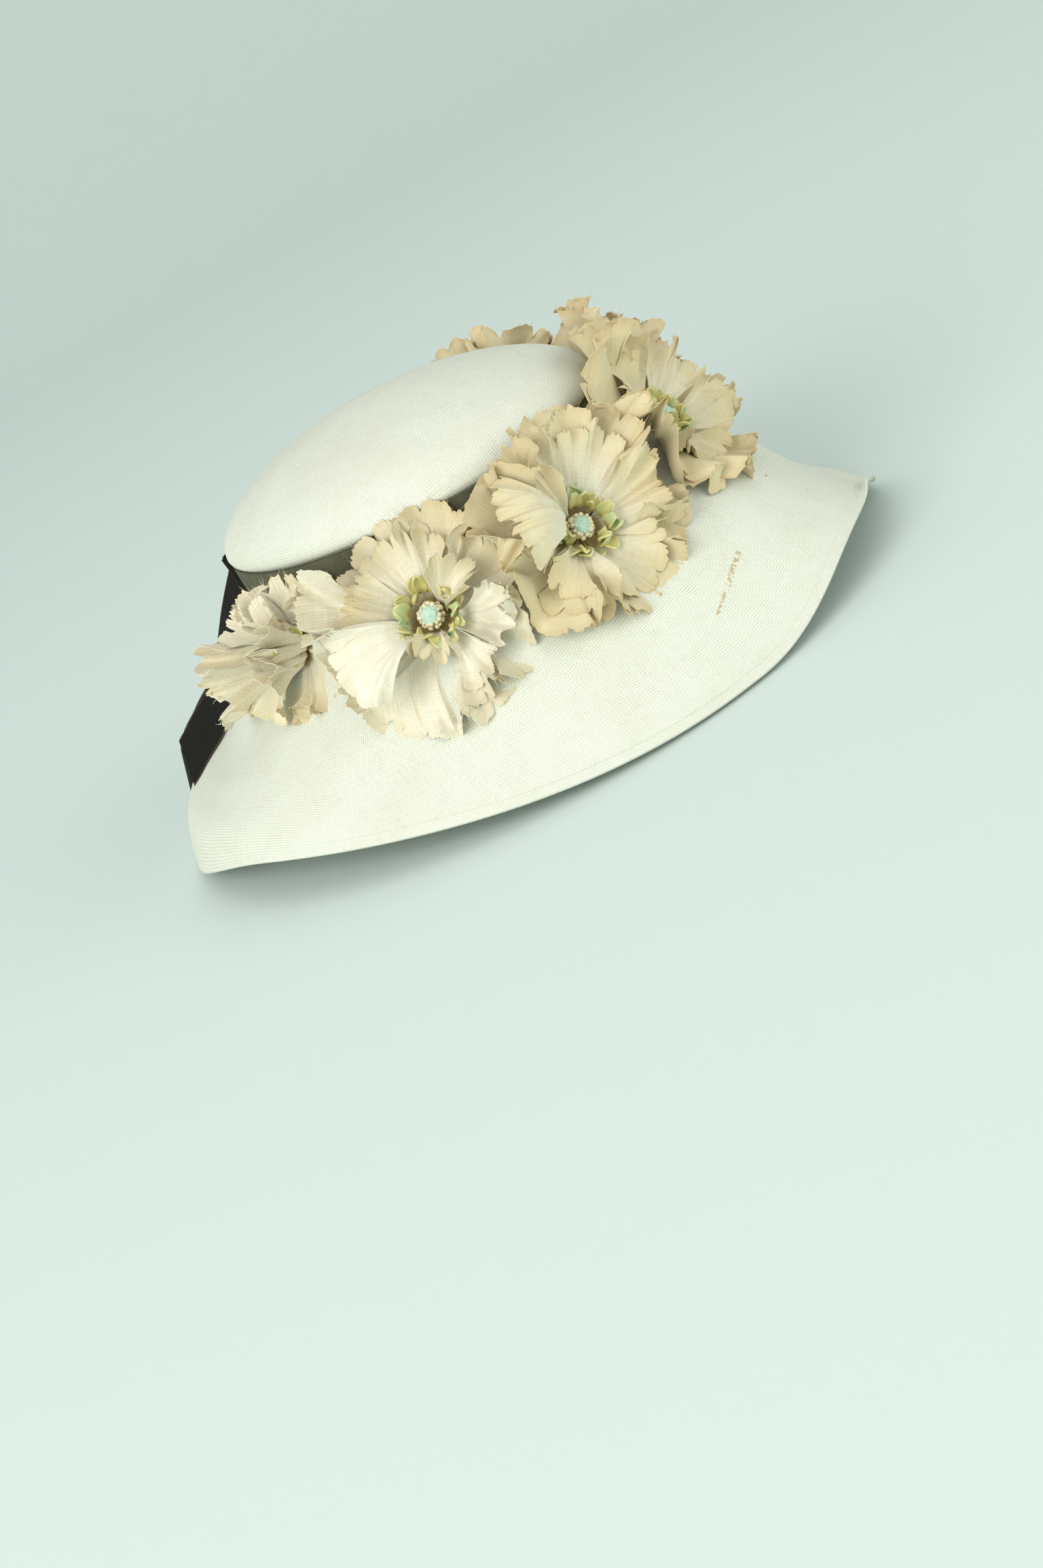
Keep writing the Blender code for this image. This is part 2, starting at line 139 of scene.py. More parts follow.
def crownRadius(heading, height):
    fullest = headRadius(heading) + crownFullest
    rise = (height - bandTop - hat["shoulderRise"]) / (hat["crownRise"] - hat["shoulderRise"])
    rise = np.clip(rise, 0, 1)
    fullness = hat["shoulderFullness"]
    return fullest * (1 - rise**fullness) ** (1 / fullness)


def wobble(points, size, seed):
    # a smooth value from -1 to 1 that changes over about this size
    flat = points.reshape(-1, 3) / size + seed * 7.3
    return np.array([noise.noise(Vector(p)) for p in flat]).reshape(points.shape[:-1])


def closedWobble(points, size, seed):
    # the same for a grid whose last column lies on its first
    values = wobble(points[:, :-1], size, seed)
    return np.hstack([values, values[:, :1]])


def deselect():
    if bpy.context.object and bpy.context.object.mode != "OBJECT":
        bpy.ops.object.mode_set(mode="OBJECT")
    bpy.ops.object.select_all(action="DESELECT")


def only(piece):
    deselect()
    piece.select_set(True)
    bpy.context.view_layer.objects.active = piece
    return piece


def sheetGrid(name, points, maps, closed=False, away=None):
    # a grid primitive whose points take their places from an array of rows and columns
    rows, columns = points.shape[0] - 1, points.shape[1] - 1
    deselect()
    bpy.ops.mesh.primitive_grid_add(x_subdivisions=columns, y_subdivisions=rows, size=1)
    piece = bpy.context.object
    piece.name = piece.data.name = name
    mesh = piece.data
    place = np.zeros(len(mesh.vertices) * 3)
    mesh.vertices.foreach_get("co", place)
    place = place.reshape(-1, 3)
    column = np.rint((place[:, 0] + 0.5) * columns).astype(int)
    row = np.rint((place[:, 1] + 0.5) * rows).astype(int)
    mesh.vertices.foreach_set("co", points[row, column].ravel())
    corner = np.zeros(len(mesh.loops), int)
    mesh.loops.foreach_get("vertex_index", corner)
    mesh.uv_layers.remove(mesh.uv_layers[0])
    for label, values in maps.items():
        layer = mesh.uv_layers.new(name=label)
        layer.data.foreach_set("uv", values[row[corner], column[corner]].ravel())
    mesh.update()
    bpy.ops.object.mode_set(mode="EDIT")
    bpy.ops.mesh.select_all(action="SELECT")
    if closed:
        bpy.ops.mesh.remove_doubles(threshold=1e-6)
        bpy.ops.mesh.normals_make_consistent(inside=False)
    bpy.ops.object.mode_set(mode="OBJECT")
    if away is not None:
        facing = sum((face.normal * face.area for face in mesh.polygons), Vector())
        if facing.dot(away) < 0:
            bpy.ops.object.mode_set(mode="EDIT")
            bpy.ops.mesh.flip_normals()
            bpy.ops.object.mode_set(mode="OBJECT")
    return piece


def applyModifier(piece, kind, **settings):
    only(piece)
    modifier = piece.modifiers.new(kind.lower(), kind)
    for key, value in settings.items():
        setattr(modifier, key, value)
    bpy.ops.object.modifier_apply(modifier=modifier.name)


def wall(piece, thickness, offset=-1):
    applyModifier(piece, "SOLIDIFY", thickness=thickness, offset=offset, use_quality_normals=True)


def joined(pieces, name):
    deselect()
    for piece in pieces:
        piece.select_set(True)
    bpy.context.view_layer.objects.active = pieces[0]
    if len(pieces) > 1:
        bpy.ops.object.join()
    whole = bpy.context.object
    whole.name = whole.data.name = name
    return whole


def finishPiece(piece, look, slot, *nodes, angle=40):
    only(piece)
    bpy.ops.object.transform_apply(location=True, rotation=True, scale=True)
    bpy.ops.object.shade_smooth_by_angle(angle=math.radians(angle))
    piece.data.materials.clear()
    piece.data.materials.append(look)
    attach(piece, "root")
    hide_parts(*nodes)
    return piece


def sheetArea(piece):
    # one side of a thin sheet
    return sum(face.area for face in piece.data.polygons) / 2


def newGroup(name, inputs, outputs):
    tree = bpy.data.node_groups.new(name, "ShaderNodeTree")
    for label, kind, value in inputs:
        socket = tree.interface.new_socket(name=label, in_out="INPUT", socket_type=kind)
        if value is not None:
            socket.default_value = value
    for label, kind in outputs:
        tree.interface.new_socket(name=label, in_out="OUTPUT", socket_type=kind)
    return tree, tree.nodes.new("NodeGroupInput"), tree.nodes.new("NodeGroupOutput")


def feed(tree, socket, value):
    if isinstance(value, bpy.types.NodeSocket):
        tree.links.new(value, socket)
    elif value is not None:
        socket.default_value = value


def calc(tree, operation, *values):
    node = tree.nodes.new("ShaderNodeMath")
    node.operation = operation
    for socket, value in zip(node.inputs, values):
        feed(tree, socket, value)
    return node.outputs[0]


def smoothStep(tree, value, low, high, start=0.0, end=1.0):
    node = tree.nodes.new("ShaderNodeMapRange")
    node.interpolation_type = "SMOOTHSTEP"
    for socket, given in zip(node.inputs, (value, low, high, start, end)):
        feed(tree, socket, given)
    return node.outputs[0]


def mixColour(tree, share, first, second, blend="MIX"):
    node = tree.nodes.new("ShaderNodeMix")
    node.data_type = "RGBA"
    node.blend_type = blend
    for socket, given in zip((node.inputs[0], node.inputs[6], node.inputs[7]), (share, first, second)):
        feed(tree, socket, given)
    return node.outputs[2]


def cloud(tree, place, scale, detail=3.0, rough=0.55):
    node = tree.nodes.new("ShaderNodeTexNoise")
    feed(tree, node.inputs["Vector"], place)
    node.inputs["Scale"].default_value = scale
    node.inputs["Detail"].default_value = detail
    node.inputs["Roughness"].default_value = rough
    return node.outputs["Fac"]


def bumped(tree, height, strength, distance):
    node = tree.nodes.new("ShaderNodeBump")
    node.inputs["Strength"].default_value = strength
    node.inputs["Distance"].default_value = distance
    feed(tree, node.inputs["Height"], height)
    return node.outputs[0]


def useGroup(tree, group, **values):
    node = tree.nodes.new("ShaderNodeGroup")
    node.node_tree = group
    for label, value in values.items():
        feed(tree, node.inputs[label], value)
    return node


def uvMap(tree, name):
    node = tree.nodes.new("ShaderNodeUVMap")
    node.uv_map = name
    return node.outputs[0]


def objectPlace(tree):
    return tree.nodes.new("ShaderNodeTexCoord").outputs["Object"]


def parts(tree, vector):
    node = tree.nodes.new("ShaderNodeSeparateXYZ")
    feed(tree, node.inputs[0], vector)
    return node.outputs


def newMaterial(name, roughness, sheen=0.0, subsurface=0.0, specular=0.5):
    look = bpy.data.materials.new(name)
    look.use_nodes = True
    shader = look.node_tree.nodes["Principled BSDF"]
    shader.inputs["Roughness"].default_value = roughness
    shader.inputs["Sheen Weight"].default_value = sheen
    shader.inputs["Sheen Roughness"].default_value = 0.4
    shader.inputs["Subsurface Weight"].default_value = subsurface
    shader.inputs["Subsurface Radius"].default_value = (0.003, 0.0024, 0.0015)
    shader.inputs["Specular IOR Level"].default_value = specular
    return look, look.node_tree, shader


def dress(tree, shader, colour, normal, roughness):
    for label, source in (("Base Color", colour), ("Normal", normal), ("Roughness", roughness)):
        tree.links.new(source, shader.inputs[label])


# strands that pass over and under each other, for straw and for cotton
def buildWeave():
    group, given, gives = newGroup(
        "overUnderWeave",
        [("Place", "NodeSocketVector", None), ("Threads", "NodeSocketFloat", 900.0),
         ("Gap", "NodeSocketFloat", 0.16), ("Unevenness", "NodeSocketFloat", 0.2),
         ("Lift", "NodeSocketFloat", 0.3), ("Float", "NodeSocketFloat", 1.0)],
        [("Height", "NodeSocketFloat"), ("Gaps", "NodeSocketFloat"), ("Strand", "NodeSocketFloat")])
    drift = group.nodes.new("ShaderNodeTexNoise")
    group.links.new(given.outputs["Place"], drift.inputs["Vector"])
    drift.inputs["Scale"].default_value = 160.0
    drift.inputs["Detail"].default_value = 2.0
    wander = group.nodes.new("ShaderNodeVectorMath")
    wander.operation = "MULTIPLY_ADD"
    group.links.new(drift.outputs["Color"], wander.inputs[0])
    spread = group.nodes.new("ShaderNodeCombineXYZ")
    for k in range(2):
        group.links.new(calc(group, "MULTIPLY", given.outputs["Unevenness"], 4.0), spread.inputs[k])
    group.links.new(spread.outputs[0], wander.inputs[1])
    scaled = group.nodes.new("ShaderNodeVectorMath")
    scaled.operation = "SCALE"
    group.links.new(given.outputs["Place"], scaled.inputs[0])
    group.links.new(given.outputs["Threads"], scaled.inputs["Scale"])
    group.links.new(scaled.outputs[0], wander.inputs[2])
    x, y, _ = parts(group, wander.outputs[0])
    column, line = calc(group, "FLOOR", x), calc(group, "FLOOR", y)
    offX = calc(group, "SUBTRACT", calc(group, "FRACT", x), 0.5)
    offY = calc(group, "SUBTRACT", calc(group, "FRACT", y), 0.5)
    sideX, sideY = calc(group, "ABSOLUTE", offX), calc(group, "ABSOLUTE", offY)
    roundX = calc(group, "COSINE", calc(group, "MULTIPLY", offX, math.pi))
    roundY = calc(group, "COSINE", calc(group, "MULTIPLY", offY, math.pi))
    turn = calc(group, "DIVIDE", math.pi, given.outputs["Float"])  # a strand passes over this many others
    waveX = calc(group, "SINE", calc(group, "MULTIPLY", calc(group, "ADD", y, column), turn))
    waveY = calc(group, "SINE", calc(group, "MULTIPLY", calc(group, "ADD", x, line), turn))
    level = calc(group, "SUBTRACT", 1.0, given.outputs["Lift"])
    upX = calc(group, "MULTIPLY_ADD", waveX, given.outputs["Lift"], level)
    upY = calc(group, "SUBTRACT", level, calc(group, "MULTIPLY", waveY, given.outputs["Lift"]))
    top = calc(group, "MAXIMUM", calc(group, "MULTIPLY", roundX, upX), calc(group, "MULTIPLY", roundY, upY))
    group.links.new(top, gives.inputs["Height"])
    corner = calc(group, "MINIMUM", sideX, sideY)
    low = calc(group, "SUBTRACT", 0.5, given.outputs["Gap"])
    open_ = smoothStep(group, corner, low, calc(group, "ADD", low, 0.09))
    odd = group.nodes.new("ShaderNodeTexWhiteNoise")
    odd.noise_dimensions = "2D"
    cell = group.nodes.new("ShaderNodeCombineXYZ")
    group.links.new(column, cell.inputs[0])
    group.links.new(line, cell.inputs[1])
    group.links.new(cell.outputs[0], odd.inputs["Vector"])
    patches = smoothStep(group, cloud(group, given.outputs["Place"], 55.0, 3.0), 0.40, 0.66, 0.25, 1.0)
    uneven = calc(group, "MULTIPLY", calc(group, "POWER", odd.outputs["Value"], 1.3), patches)
    group.links.new(calc(group, "MULTIPLY", open_, uneven), gives.inputs["Gaps"])
    group.links.new(odd.outputs["Value"], gives.inputs["Strand"])
    return group


# soft dirt and fading that any cloth or straw has
def buildAgeing():
    group, given, gives = newGroup(
        "ageing",
        [("Place", "NodeSocketVector", None), ("Clean", "NodeSocketColor", (1, 1, 1, 1)),
         ("Aged", "NodeSocketColor", (0.8, 0.7, 0.5, 1)), ("Amount", "NodeSocketFloat", 0.5)],
        [("Colour", "NodeSocketColor")])
    broad = cloud(group, given.outputs["Place"], 28.0, 4.0)
    fine = cloud(group, given.outputs["Place"], 240.0, 3.0, 0.65)
    both = calc(group, "MULTIPLY_ADD", fine, 0.35, calc(group, "MULTIPLY", broad, 0.75))
    mask = calc(group, "MULTIPLY", smoothStep(group, both, 0.42, 0.78), given.outputs["Amount"])
    blend = mixColour(group, mask, given.outputs["Clean"], given.outputs["Aged"])
    group.links.new(blend, gives.inputs["Colour"])
    return group


weaveGroup = buildWeave()
ageingGroup = buildAgeing()


# the gap colour is painted shade, laid into the weave's holes and into the low places between strands
strawLook = {
    "clean": (0.850, 0.855, 0.750, 1), "aged": (0.790, 0.775, 0.640, 1), "gapShade": (0.250, 0.235, 0.165, 1),
    "broken": (0.640, 0.490, 0.300, 1), "rows": 900.0, "strands": 235, "strandsFrom": 0.028, "widening": 1.5,
    "gapSize": 0.205, "lift": 0.30, "roughness": 0.6,
    # broken strands: start, end and width of each streak on the brim
    "streaks": (((-0.0150, -0.1513), (-0.0330, -0.1505), 0.0011), ((-0.0350, -0.1503), (-0.0465, -0.1493), 0.0007),
                ((0.0366, -0.1447), (0.0384, -0.1446), 0.0007)),
}


def streakMask(tree, place, start, end, width):
    dx, dy = end[0] - start[0], end[1] - start[1]
    length = math.hypot(dx, dy)
    x, y, _ = parts(tree, place)
    x, y = calc(tree, "SUBTRACT", x, start[0]), calc(tree, "SUBTRACT", y, start[1])
    along = calc(tree, "ADD", calc(tree, "MULTIPLY", x, dx / length), calc(tree, "MULTIPLY", y, dy / length))
    across = calc(tree, "SUBTRACT", calc(tree, "MULTIPLY", y, dx / length), calc(tree, "MULTIPLY", x, dy / length))
    middle = calc(tree, "ABSOLUTE", calc(tree, "SUBTRACT", along, length / 2))
    inside = smoothStep(tree, middle, length / 2 + 0.0003, length / 2 - 0.0003)
    return calc(tree, "MULTIPLY", inside, smoothStep(tree, calc(tree, "ABSOLUTE", across), width, width * 0.5))


def strawMaterial():
    look, tree, shader = newMaterial("ivoryStraw", strawLook["roughness"], specular=0.35)
    place = objectPlace(tree)
    turn, along, _ = parts(tree, uvMap(tree, "weave"))
    x, y, _ = parts(tree, place)
    radius = calc(tree, "SQRT", calc(tree, "ADD", calc(tree, "MULTIPLY", x, x), calc(tree, "MULTIPLY", y, y)))
    strayed = calc(tree, "MULTIPLY_ADD", calc(tree, "SUBTRACT", cloud(tree, place, 26.0, 3.0), 0.5), 0.040, radius)
    # strands are added as the plait widens, so they stay about as wide from the tip to the rim
    grown = calc(tree, "DIVIDE", calc(tree, "MAXIMUM", strayed, 0.004), strawLook["strandsFrom"])
    zone = calc(tree, "FLOOR", calc(tree, "LOGARITHM", grown, strawLook["widening"]))
    wider = calc(tree, "POWER", strawLook["widening"], zone)
    count = calc(tree, "ROUND", calc(tree, "MULTIPLY", wider, strawLook["strands"]))
    flat = tree.nodes.new("ShaderNodeCombineXYZ")
    feed(tree, flat.inputs[0], calc(tree, "DIVIDE", calc(tree, "MULTIPLY", turn, count), strawLook["rows"]))
    feed(tree, flat.inputs[1], along)
    weave = useGroup(tree, weaveGroup, Place=flat.outputs[0], Threads=strawLook["rows"], Float=2.0,
                     Gap=strawLook["gapSize"], Unevenness=0.10, Lift=strawLook["lift"])
    aged = useGroup(tree, ageingGroup, Place=place, Clean=strawLook["clean"],
                    Aged=strawLook["aged"], Amount=0.6)
    strand = mixColour(tree, calc(tree, "MULTIPLY", weave.outputs["Strand"], 0.22),
                       aged.outputs["Colour"], strawLook["aged"])
    allStreaks = 0.0
    for row in strawLook["streaks"]:
        allStreaks = calc(tree, "MAXIMUM", streakMask(tree, place, *row), allStreaks)
    split = calc(tree, "MULTIPLY", allStreaks, smoothStep(tree, weave.outputs["Strand"], 0.25, 0.45))
    torn = mixColour(tree, split, strand, strawLook["broken"])
    # painted shade: the low places between the strands darken towards the gap colour, and the holes are painted with
    # it
    reliefShade = smoothStep(tree, weave.outputs["Height"], 0.15, 0.80, 0.30, 0.0)
    shaded = mixColour(tree, reliefShade, torn, strawLook["gapShade"])
    shadedHoles = mixColour(tree, weave.outputs["Gaps"], shaded, strawLook["gapShade"])
    height = calc(tree, "SUBTRACT", weave.outputs["Height"], calc(tree, "MULTIPLY", weave.outputs["Gaps"], 0.5))
    rough = calc(tree, "MULTIPLY_ADD", weave.outputs["Strand"], 0.2, strawLook["roughness"] - 0.08)
    dress(tree, shader, shadedHoles, bumped(tree, height, 0.45, 0.00035), rough)
    return look


straw = strawMaterial()

crownMake = {"columns": 288, "dome": 34, "wall": 10, "dent": 0.0004, "dentSize": 0.045}


def crownSurface():
    heading = np.linspace(0, 360, crownMake["columns"] + 1)
    steps = np.radians(np.linspace(76, 0, crownMake["dome"]))
    fullness = 2 / hat["shoulderFullness"]
    fullest = headRadius(heading) + crownFullest
    rows = []
    for share in (0.0, 0.5, 1.0):
        rows.append((hat["tipFlat"] * share + 0 * heading, tipHeight + 0 * heading))
    for step in steps:
        rise = (hat["crownRise"] - hat["shoulderRise"]) * np.sin(step) ** fullness
        rows.append((fullest * np.cos(step) ** fullness, bandTop + hat["shoulderRise"] + rise + 0 * heading))
    low = bandTop - hat["fit"]
    inward = (crownFullest - hat["straw"] / 2, bandTop + hat["shoulderRise"] / 3)
    for beyond, height in (inward, (hat["straw"], low)):
        rows.append((headRadius(heading) + beyond, height + 0 * heading))
    for share in np.linspace(0, 1, crownMake["wall"])[1:]:
        rows.append((headRadius(heading) + hat["straw"], low + (hat["footHeight"] - low) * share + 0 * heading))
    radius = np.array([row[0] for row in rows])
    points = outFrom(heading)[None] * radius[..., None]
    points[..., 2] = np.array([row[1] for row in rows])
    return heading, points


def weaveMap(heading, points, start):
    # share of a turn round the hat, and distance down the surface from the tip
    steps = np.linalg.norm(np.diff(points, axis=0), axis=2).mean(axis=1)
    along = np.append(0, np.cumsum(steps)) + start
    return np.stack(np.broadcast_arrays(heading[None] / 360, along[:, None]), axis=-1)


heading, points = crownSurface()
dents = closedWobble(points, crownMake["dentSize"], 1.0) * crownMake["dent"]
dents[-crownMake["wall"] - 2:] = 0
points[..., 2] += dents
crown = sheetGrid("strawCrown", points, {"weave": weaveMap(heading, points, 0.0)}, closed=True)
wall(crown, hat["straw"])
finishPiece(crown, straw, "straw", "crown", angle=50)

brimMake = {
    "columns": 384, "rows": 60, "lastRow": 0.993, "collarSteps": (1.0, 0.66, 0.33, 0.12), "bevel": 0.0005,
    "dent": 0.0007, "dentSize": 0.05, "fadeIn": 12, "fadeOut": 10, "weaveStart": 0.075,
    "hemWidth": 0.0034, "hemRaise": 0.00025, "hemSlope": 0.004,
    "curlHeading": 334.0, "curlSpread": 9.0, "curlLength": 0.0085, "curlTurn": 2.0,
}


def brimSurface():
    heading = np.linspace(0, 360, brimMake["columns"] + 1)
    shares = np.linspace(0, 1, brimMake["rows"] + 1)
    hemShare = 1 - brimMake["hemWidth"] / hat["brimReach"]
    slope = brimMake["hemSlope"]
    shares = np.sort(np.append(shares, (hemShare - slope, hemShare, hemShare + slope, brimMake["lastRow"])))
    rows = []
    for height in brimMake["collarSteps"]:
        row = outFrom(heading) * brimRadius(heading, 0.0)[:, None]
        row[:, 2] = hat["footHeight"] + hat["collarHeight"] * height
        rows.append(row)
    for share in shares:
        row = outFrom(heading) * brimRadius(heading, share)[:, None]
        row[:, 2] = brimHeight(heading, share + 0 * heading)
        row[:, 2] += brimMake["hemRaise"] * np.clip((share - hemShare + slope) / (2 * slope), 0, 1)
        rows.append(row)
    return heading, curledRim(heading, shares, np.array(rows))


def curledRim(heading, shares, points):
    # at its highest wave the rim rolls up and shows its underside
    turn = brimMake["curlTurn"] * np.exp(-(((heading - brimMake["curlHeading"]) / brimMake["curlSpread"]) ** 2))
    turn = np.maximum(turn, 1e-4)[:, None]
    foldAt = 1 - brimMake["curlLength"] / hat["brimReach"]
    first = len(points) - len(shares) + int(np.searchsorted(shares, foldAt))
    base, tip = points[first], points[-1]
    ahead = tip - base
    ahead /= np.linalg.norm(ahead, axis=1)[:, None]
    above = np.cross(np.cross(ahead, (0, 0, 1)), ahead)
    above /= np.linalg.norm(above, axis=1)[:, None]
    bend = brimMake["curlLength"] / turn
    for row in range(first + 1, len(points)):
        far = np.linalg.norm(points[row] - base, axis=1)[:, None]
        rolled = base + ahead * bend * np.sin(far / bend) + above * bend * (1 - np.cos(far / bend))
        points[row] = np.where(turn > 0.03, rolled, points[row])
    return points


heading, points = brimSurface()
dents = closedWobble(points, brimMake["dentSize"], 2.0) * brimMake["dent"]
rowNumber = np.arange(len(points))
fade = np.clip((rowNumber - len(brimMake["collarSteps"])) / brimMake["fadeIn"], 0, 1)
fade = fade * np.clip((len(points) - 1 - rowNumber) / brimMake["fadeOut"], 0, 1)
points[..., 2] += dents * fade[:, None]
brim = sheetGrid("strawBrim", points, {"weave": weaveMap(heading, points, brimMake["weaveStart"])}, closed=True)
wall(brim, hat["straw"])
applyModifier(brim, "BEVEL", width=brimMake["bevel"], segments=2, limit_method="ANGLE", angle_limit=math.radians(60))
finishPiece(brim, straw, "straw", "brim", angle=50)
print("straw crown and brim:", len(crown.data.polygons), len(brim.data.polygons), "faces")


# the dark band colour and the worn tail colour are the aged colours and also the painted shade in the furrows between
# the ribs
ribbonLook = {
    "band": (0.150, 0.146, 0.092, 1), "bandDark": (0.070, 0.066, 0.040, 1), "tail": (0.0085, 0.0085, 0.0065, 1),
    "tailWornAndFurrowShade": (0.018, 0.015, 0.010, 1), "selvage": (0.090, 0.062, 0.036, 1), "ribs": 1080.0, "roughness": 0.68,
}


def buildRibs():
    group, given, gives = newGroup(
        "grosgrain",
        [("Place", "NodeSocketVector", None), ("Ribs", "NodeSocketFloat", 1000.0),
         ("Width", "NodeSocketFloat", 0.025)],
        [("Height", "NodeSocketFloat"), ("Furrow", "NodeSocketFloat"), ("Selvage", "NodeSocketFloat")])
    x, y, _ = parts(group, given.outputs["Place"])
    sway = calc(group, "MULTIPLY", cloud(group, given.outputs["Place"], 90.0, 2.0), 1.2)
    at = calc(group, "ADD", calc(group, "MULTIPLY", x, given.outputs["Ribs"]), sway)
    rib = calc(group, "ABSOLUTE", calc(group, "SINE", calc(group, "MULTIPLY", at, math.pi)))
    group.links.new(smoothStep(group, rib, 0.45, 0.0), gives.inputs["Furrow"])
    toEdge = calc(group, "MINIMUM", y, calc(group, "SUBTRACT", given.outputs["Width"], y))
    edge = smoothStep(group, toEdge, 0.0009, 0.0004)
    group.links.new(edge, gives.inputs["Selvage"])
    thread = calc(group, "MULTIPLY", cloud(group, given.outputs["Place"], 3500.0, 1.0), 0.25)
    height = calc(group, "ADD", calc(group, "POWER", rib, 0.6), thread)
    group.links.new(calc(group, "MULTIPLY", height, calc(group, "SUBTRACT", 1.0, calc(group, "MULTIPLY", edge, 0.6))),
                    gives.inputs["Height"])
    return group


ribGroup = buildRibs()


def ribbonMaterial(name, plain, deep, selvage, width):
    look, tree, shader = newMaterial(name, ribbonLook["roughness"], sheen=0.04, specular=0.18)
    ribs = useGroup(tree, ribGroup, Place=uvMap(tree, "weave"), Ribs=ribbonLook["ribs"], Width=width)
    aged = useGroup(tree, ageingGroup, Place=objectPlace(tree), Clean=plain, Aged=deep, Amount=0.8)
    # painted shade: the furrows between the ribs are darkened towards the deep colour
    furrowShaded = mixColour(tree, calc(tree, "MULTIPLY", ribs.outputs["Furrow"], 0.75), aged.outputs["Colour"], deep)
    worn = mixColour(tree, calc(tree, "MULTIPLY", ribs.outputs["Selvage"], 0.7), furrowShaded, selvage)
    rough = calc(tree, "MULTIPLY_ADD", ribs.outputs["Furrow"], 0.2, ribbonLook["roughness"])
    dress(tree, shader, worn, bumped(tree, ribs.outputs["Height"], 0.6, 0.00025), rough)
    return look


tailWidth = 0.0260
bandRibbon = ribbonMaterial("oliveGrosgrain", ribbonLook["band"], ribbonLook["bandDark"],
                            ribbonLook["bandDark"], hat["bandHeight"])
tailRibbon = ribbonMaterial("blackGrosgrain", ribbonLook["tail"], ribbonLook["tailWornAndFurrowShade"],
                            ribbonLook["selvage"], tailWidth)

bandMake = {"columns": 360, "rows": 12, "slack": 0.00025, "slackSize": 0.02, "thickness": 0.0008}
heading = np.linspace(0, 360, bandMake["columns"] + 1)
rows = []
for share in np.linspace(0, 1, bandMake["rows"] + 1):
    row = outFrom(heading) * (headRadius(heading) + bandOutside)[:, None]
    row[:, 2] = bandTop - share * hat["bandHeight"]
    rows.append(row)
points = np.array(rows)
slack = closedWobble(points, bandMake["slackSize"], 3.0) * bandMake["slack"] - bandMake["slack"]
points += outFrom(heading)[None] * slack[..., None]
around = np.append(0, np.cumsum(np.linalg.norm(np.diff(points[0], axis=0), axis=1)))
across = np.linspace(hat["bandHeight"], 0, bandMake["rows"] + 1)
flat = np.stack(np.broadcast_arrays(around[None], across[:, None]), axis=-1)
band = sheetGrid("grosgrainBand", points, {"weave": flat}, closed=True)
wall(band, bandMake["thickness"])
finishPiece(band, bandRibbon, "ribbon", "ribbon_band")

knotMake = {"heading": 164.0, "width": 0.0280, "depth": 0.0060, "columns": 48, "rows": 20, "pinch": 0.10,
            "fold": 0.0004, "around": 0.064, "thickness": 0.0007}


def squarelyOut(heading):
    angle = math.radians(heading)
    return math.degrees(math.atan2(math.sin(angle) / hat["headWidth"] ** 2, math.cos(angle) / hat["headLength"] ** 2))


knotFacing = squarelyOut(knotMake["heading"])
knotSeat = outFrom(knotMake["heading"]) * (headRadius(knotMake["heading"]) + bandOutside)
knotSeat = knotSeat + outFrom(knotFacing) * hat["fit"]
knotAway, knotSide = outFrom(knotFacing), outFrom(knotFacing + 90)


# the fold of ribbon that the tails come out of: a flattened loop wrapped round the band's join
def ribbonKnot():
    columns, rowsUp = knotMake["columns"], knotMake["rows"]
    turn = np.linspace(0, 2 * np.pi, columns + 1)
    up = np.linspace(0, 1, rowsUp + 1)
    points = np.zeros((rowsUp + 1, columns + 1, 3))
    for row, share in enumerate(up):
        pinch = 1 - knotMake["pinch"] * math.sin(math.pi * share)
        side = np.sign(np.cos(turn)) * np.abs(np.cos(turn)) ** 0.45 * knotMake["width"] / 2 * pinch
        depth = (np.sign(np.sin(turn)) * np.abs(np.sin(turn)) ** 0.6 + 1) * knotMake["depth"] / 2
        fold = knotMake["fold"] * np.sin(side * 900 + share * 2.0) * (np.sin(turn) > 0)
        place = knotSeat + knotSide * side[:, None] + knotAway * (depth + fold)[:, None]
        place[:, 2] = bandFoot + hat["fit"] + share * (hat["bandHeight"] - 2 * hat["fit"])
        points[row] = place
    around = turn / (2 * np.pi) * knotMake["around"]
    flat = np.stack(np.broadcast_arrays(around[None], (up * hat["bandHeight"])[:, None]), axis=-1)
    knot = sheetGrid("ribbonKnot", points, {"weave": flat}, closed=True)
    wall(knot, knotMake["thickness"])
    return finishPiece(knot, tailRibbon, "ribbon", "ribbon_knot")


ribbonKnot()

# name, start and end heading, reach, first and last lift over the brim and tilt, side wave
tailMake = {
    "columns": 14, "rows": 72, "thickness": 0.0006,
    "tails": (("ribbon_tail_upper", 156, 146, 0.84, 0.0050, 0.0015, 66, 42, 0.0010),
              ("ribbon_tail_middle", 161, 151, 0.93, 0.0040, 0.0012, 60, 40, -0.0008),
              ("ribbon_tail_lower", 167, 158, 0.96, 0.0030, 0.0008, 52, 34, 0.0006)),
}


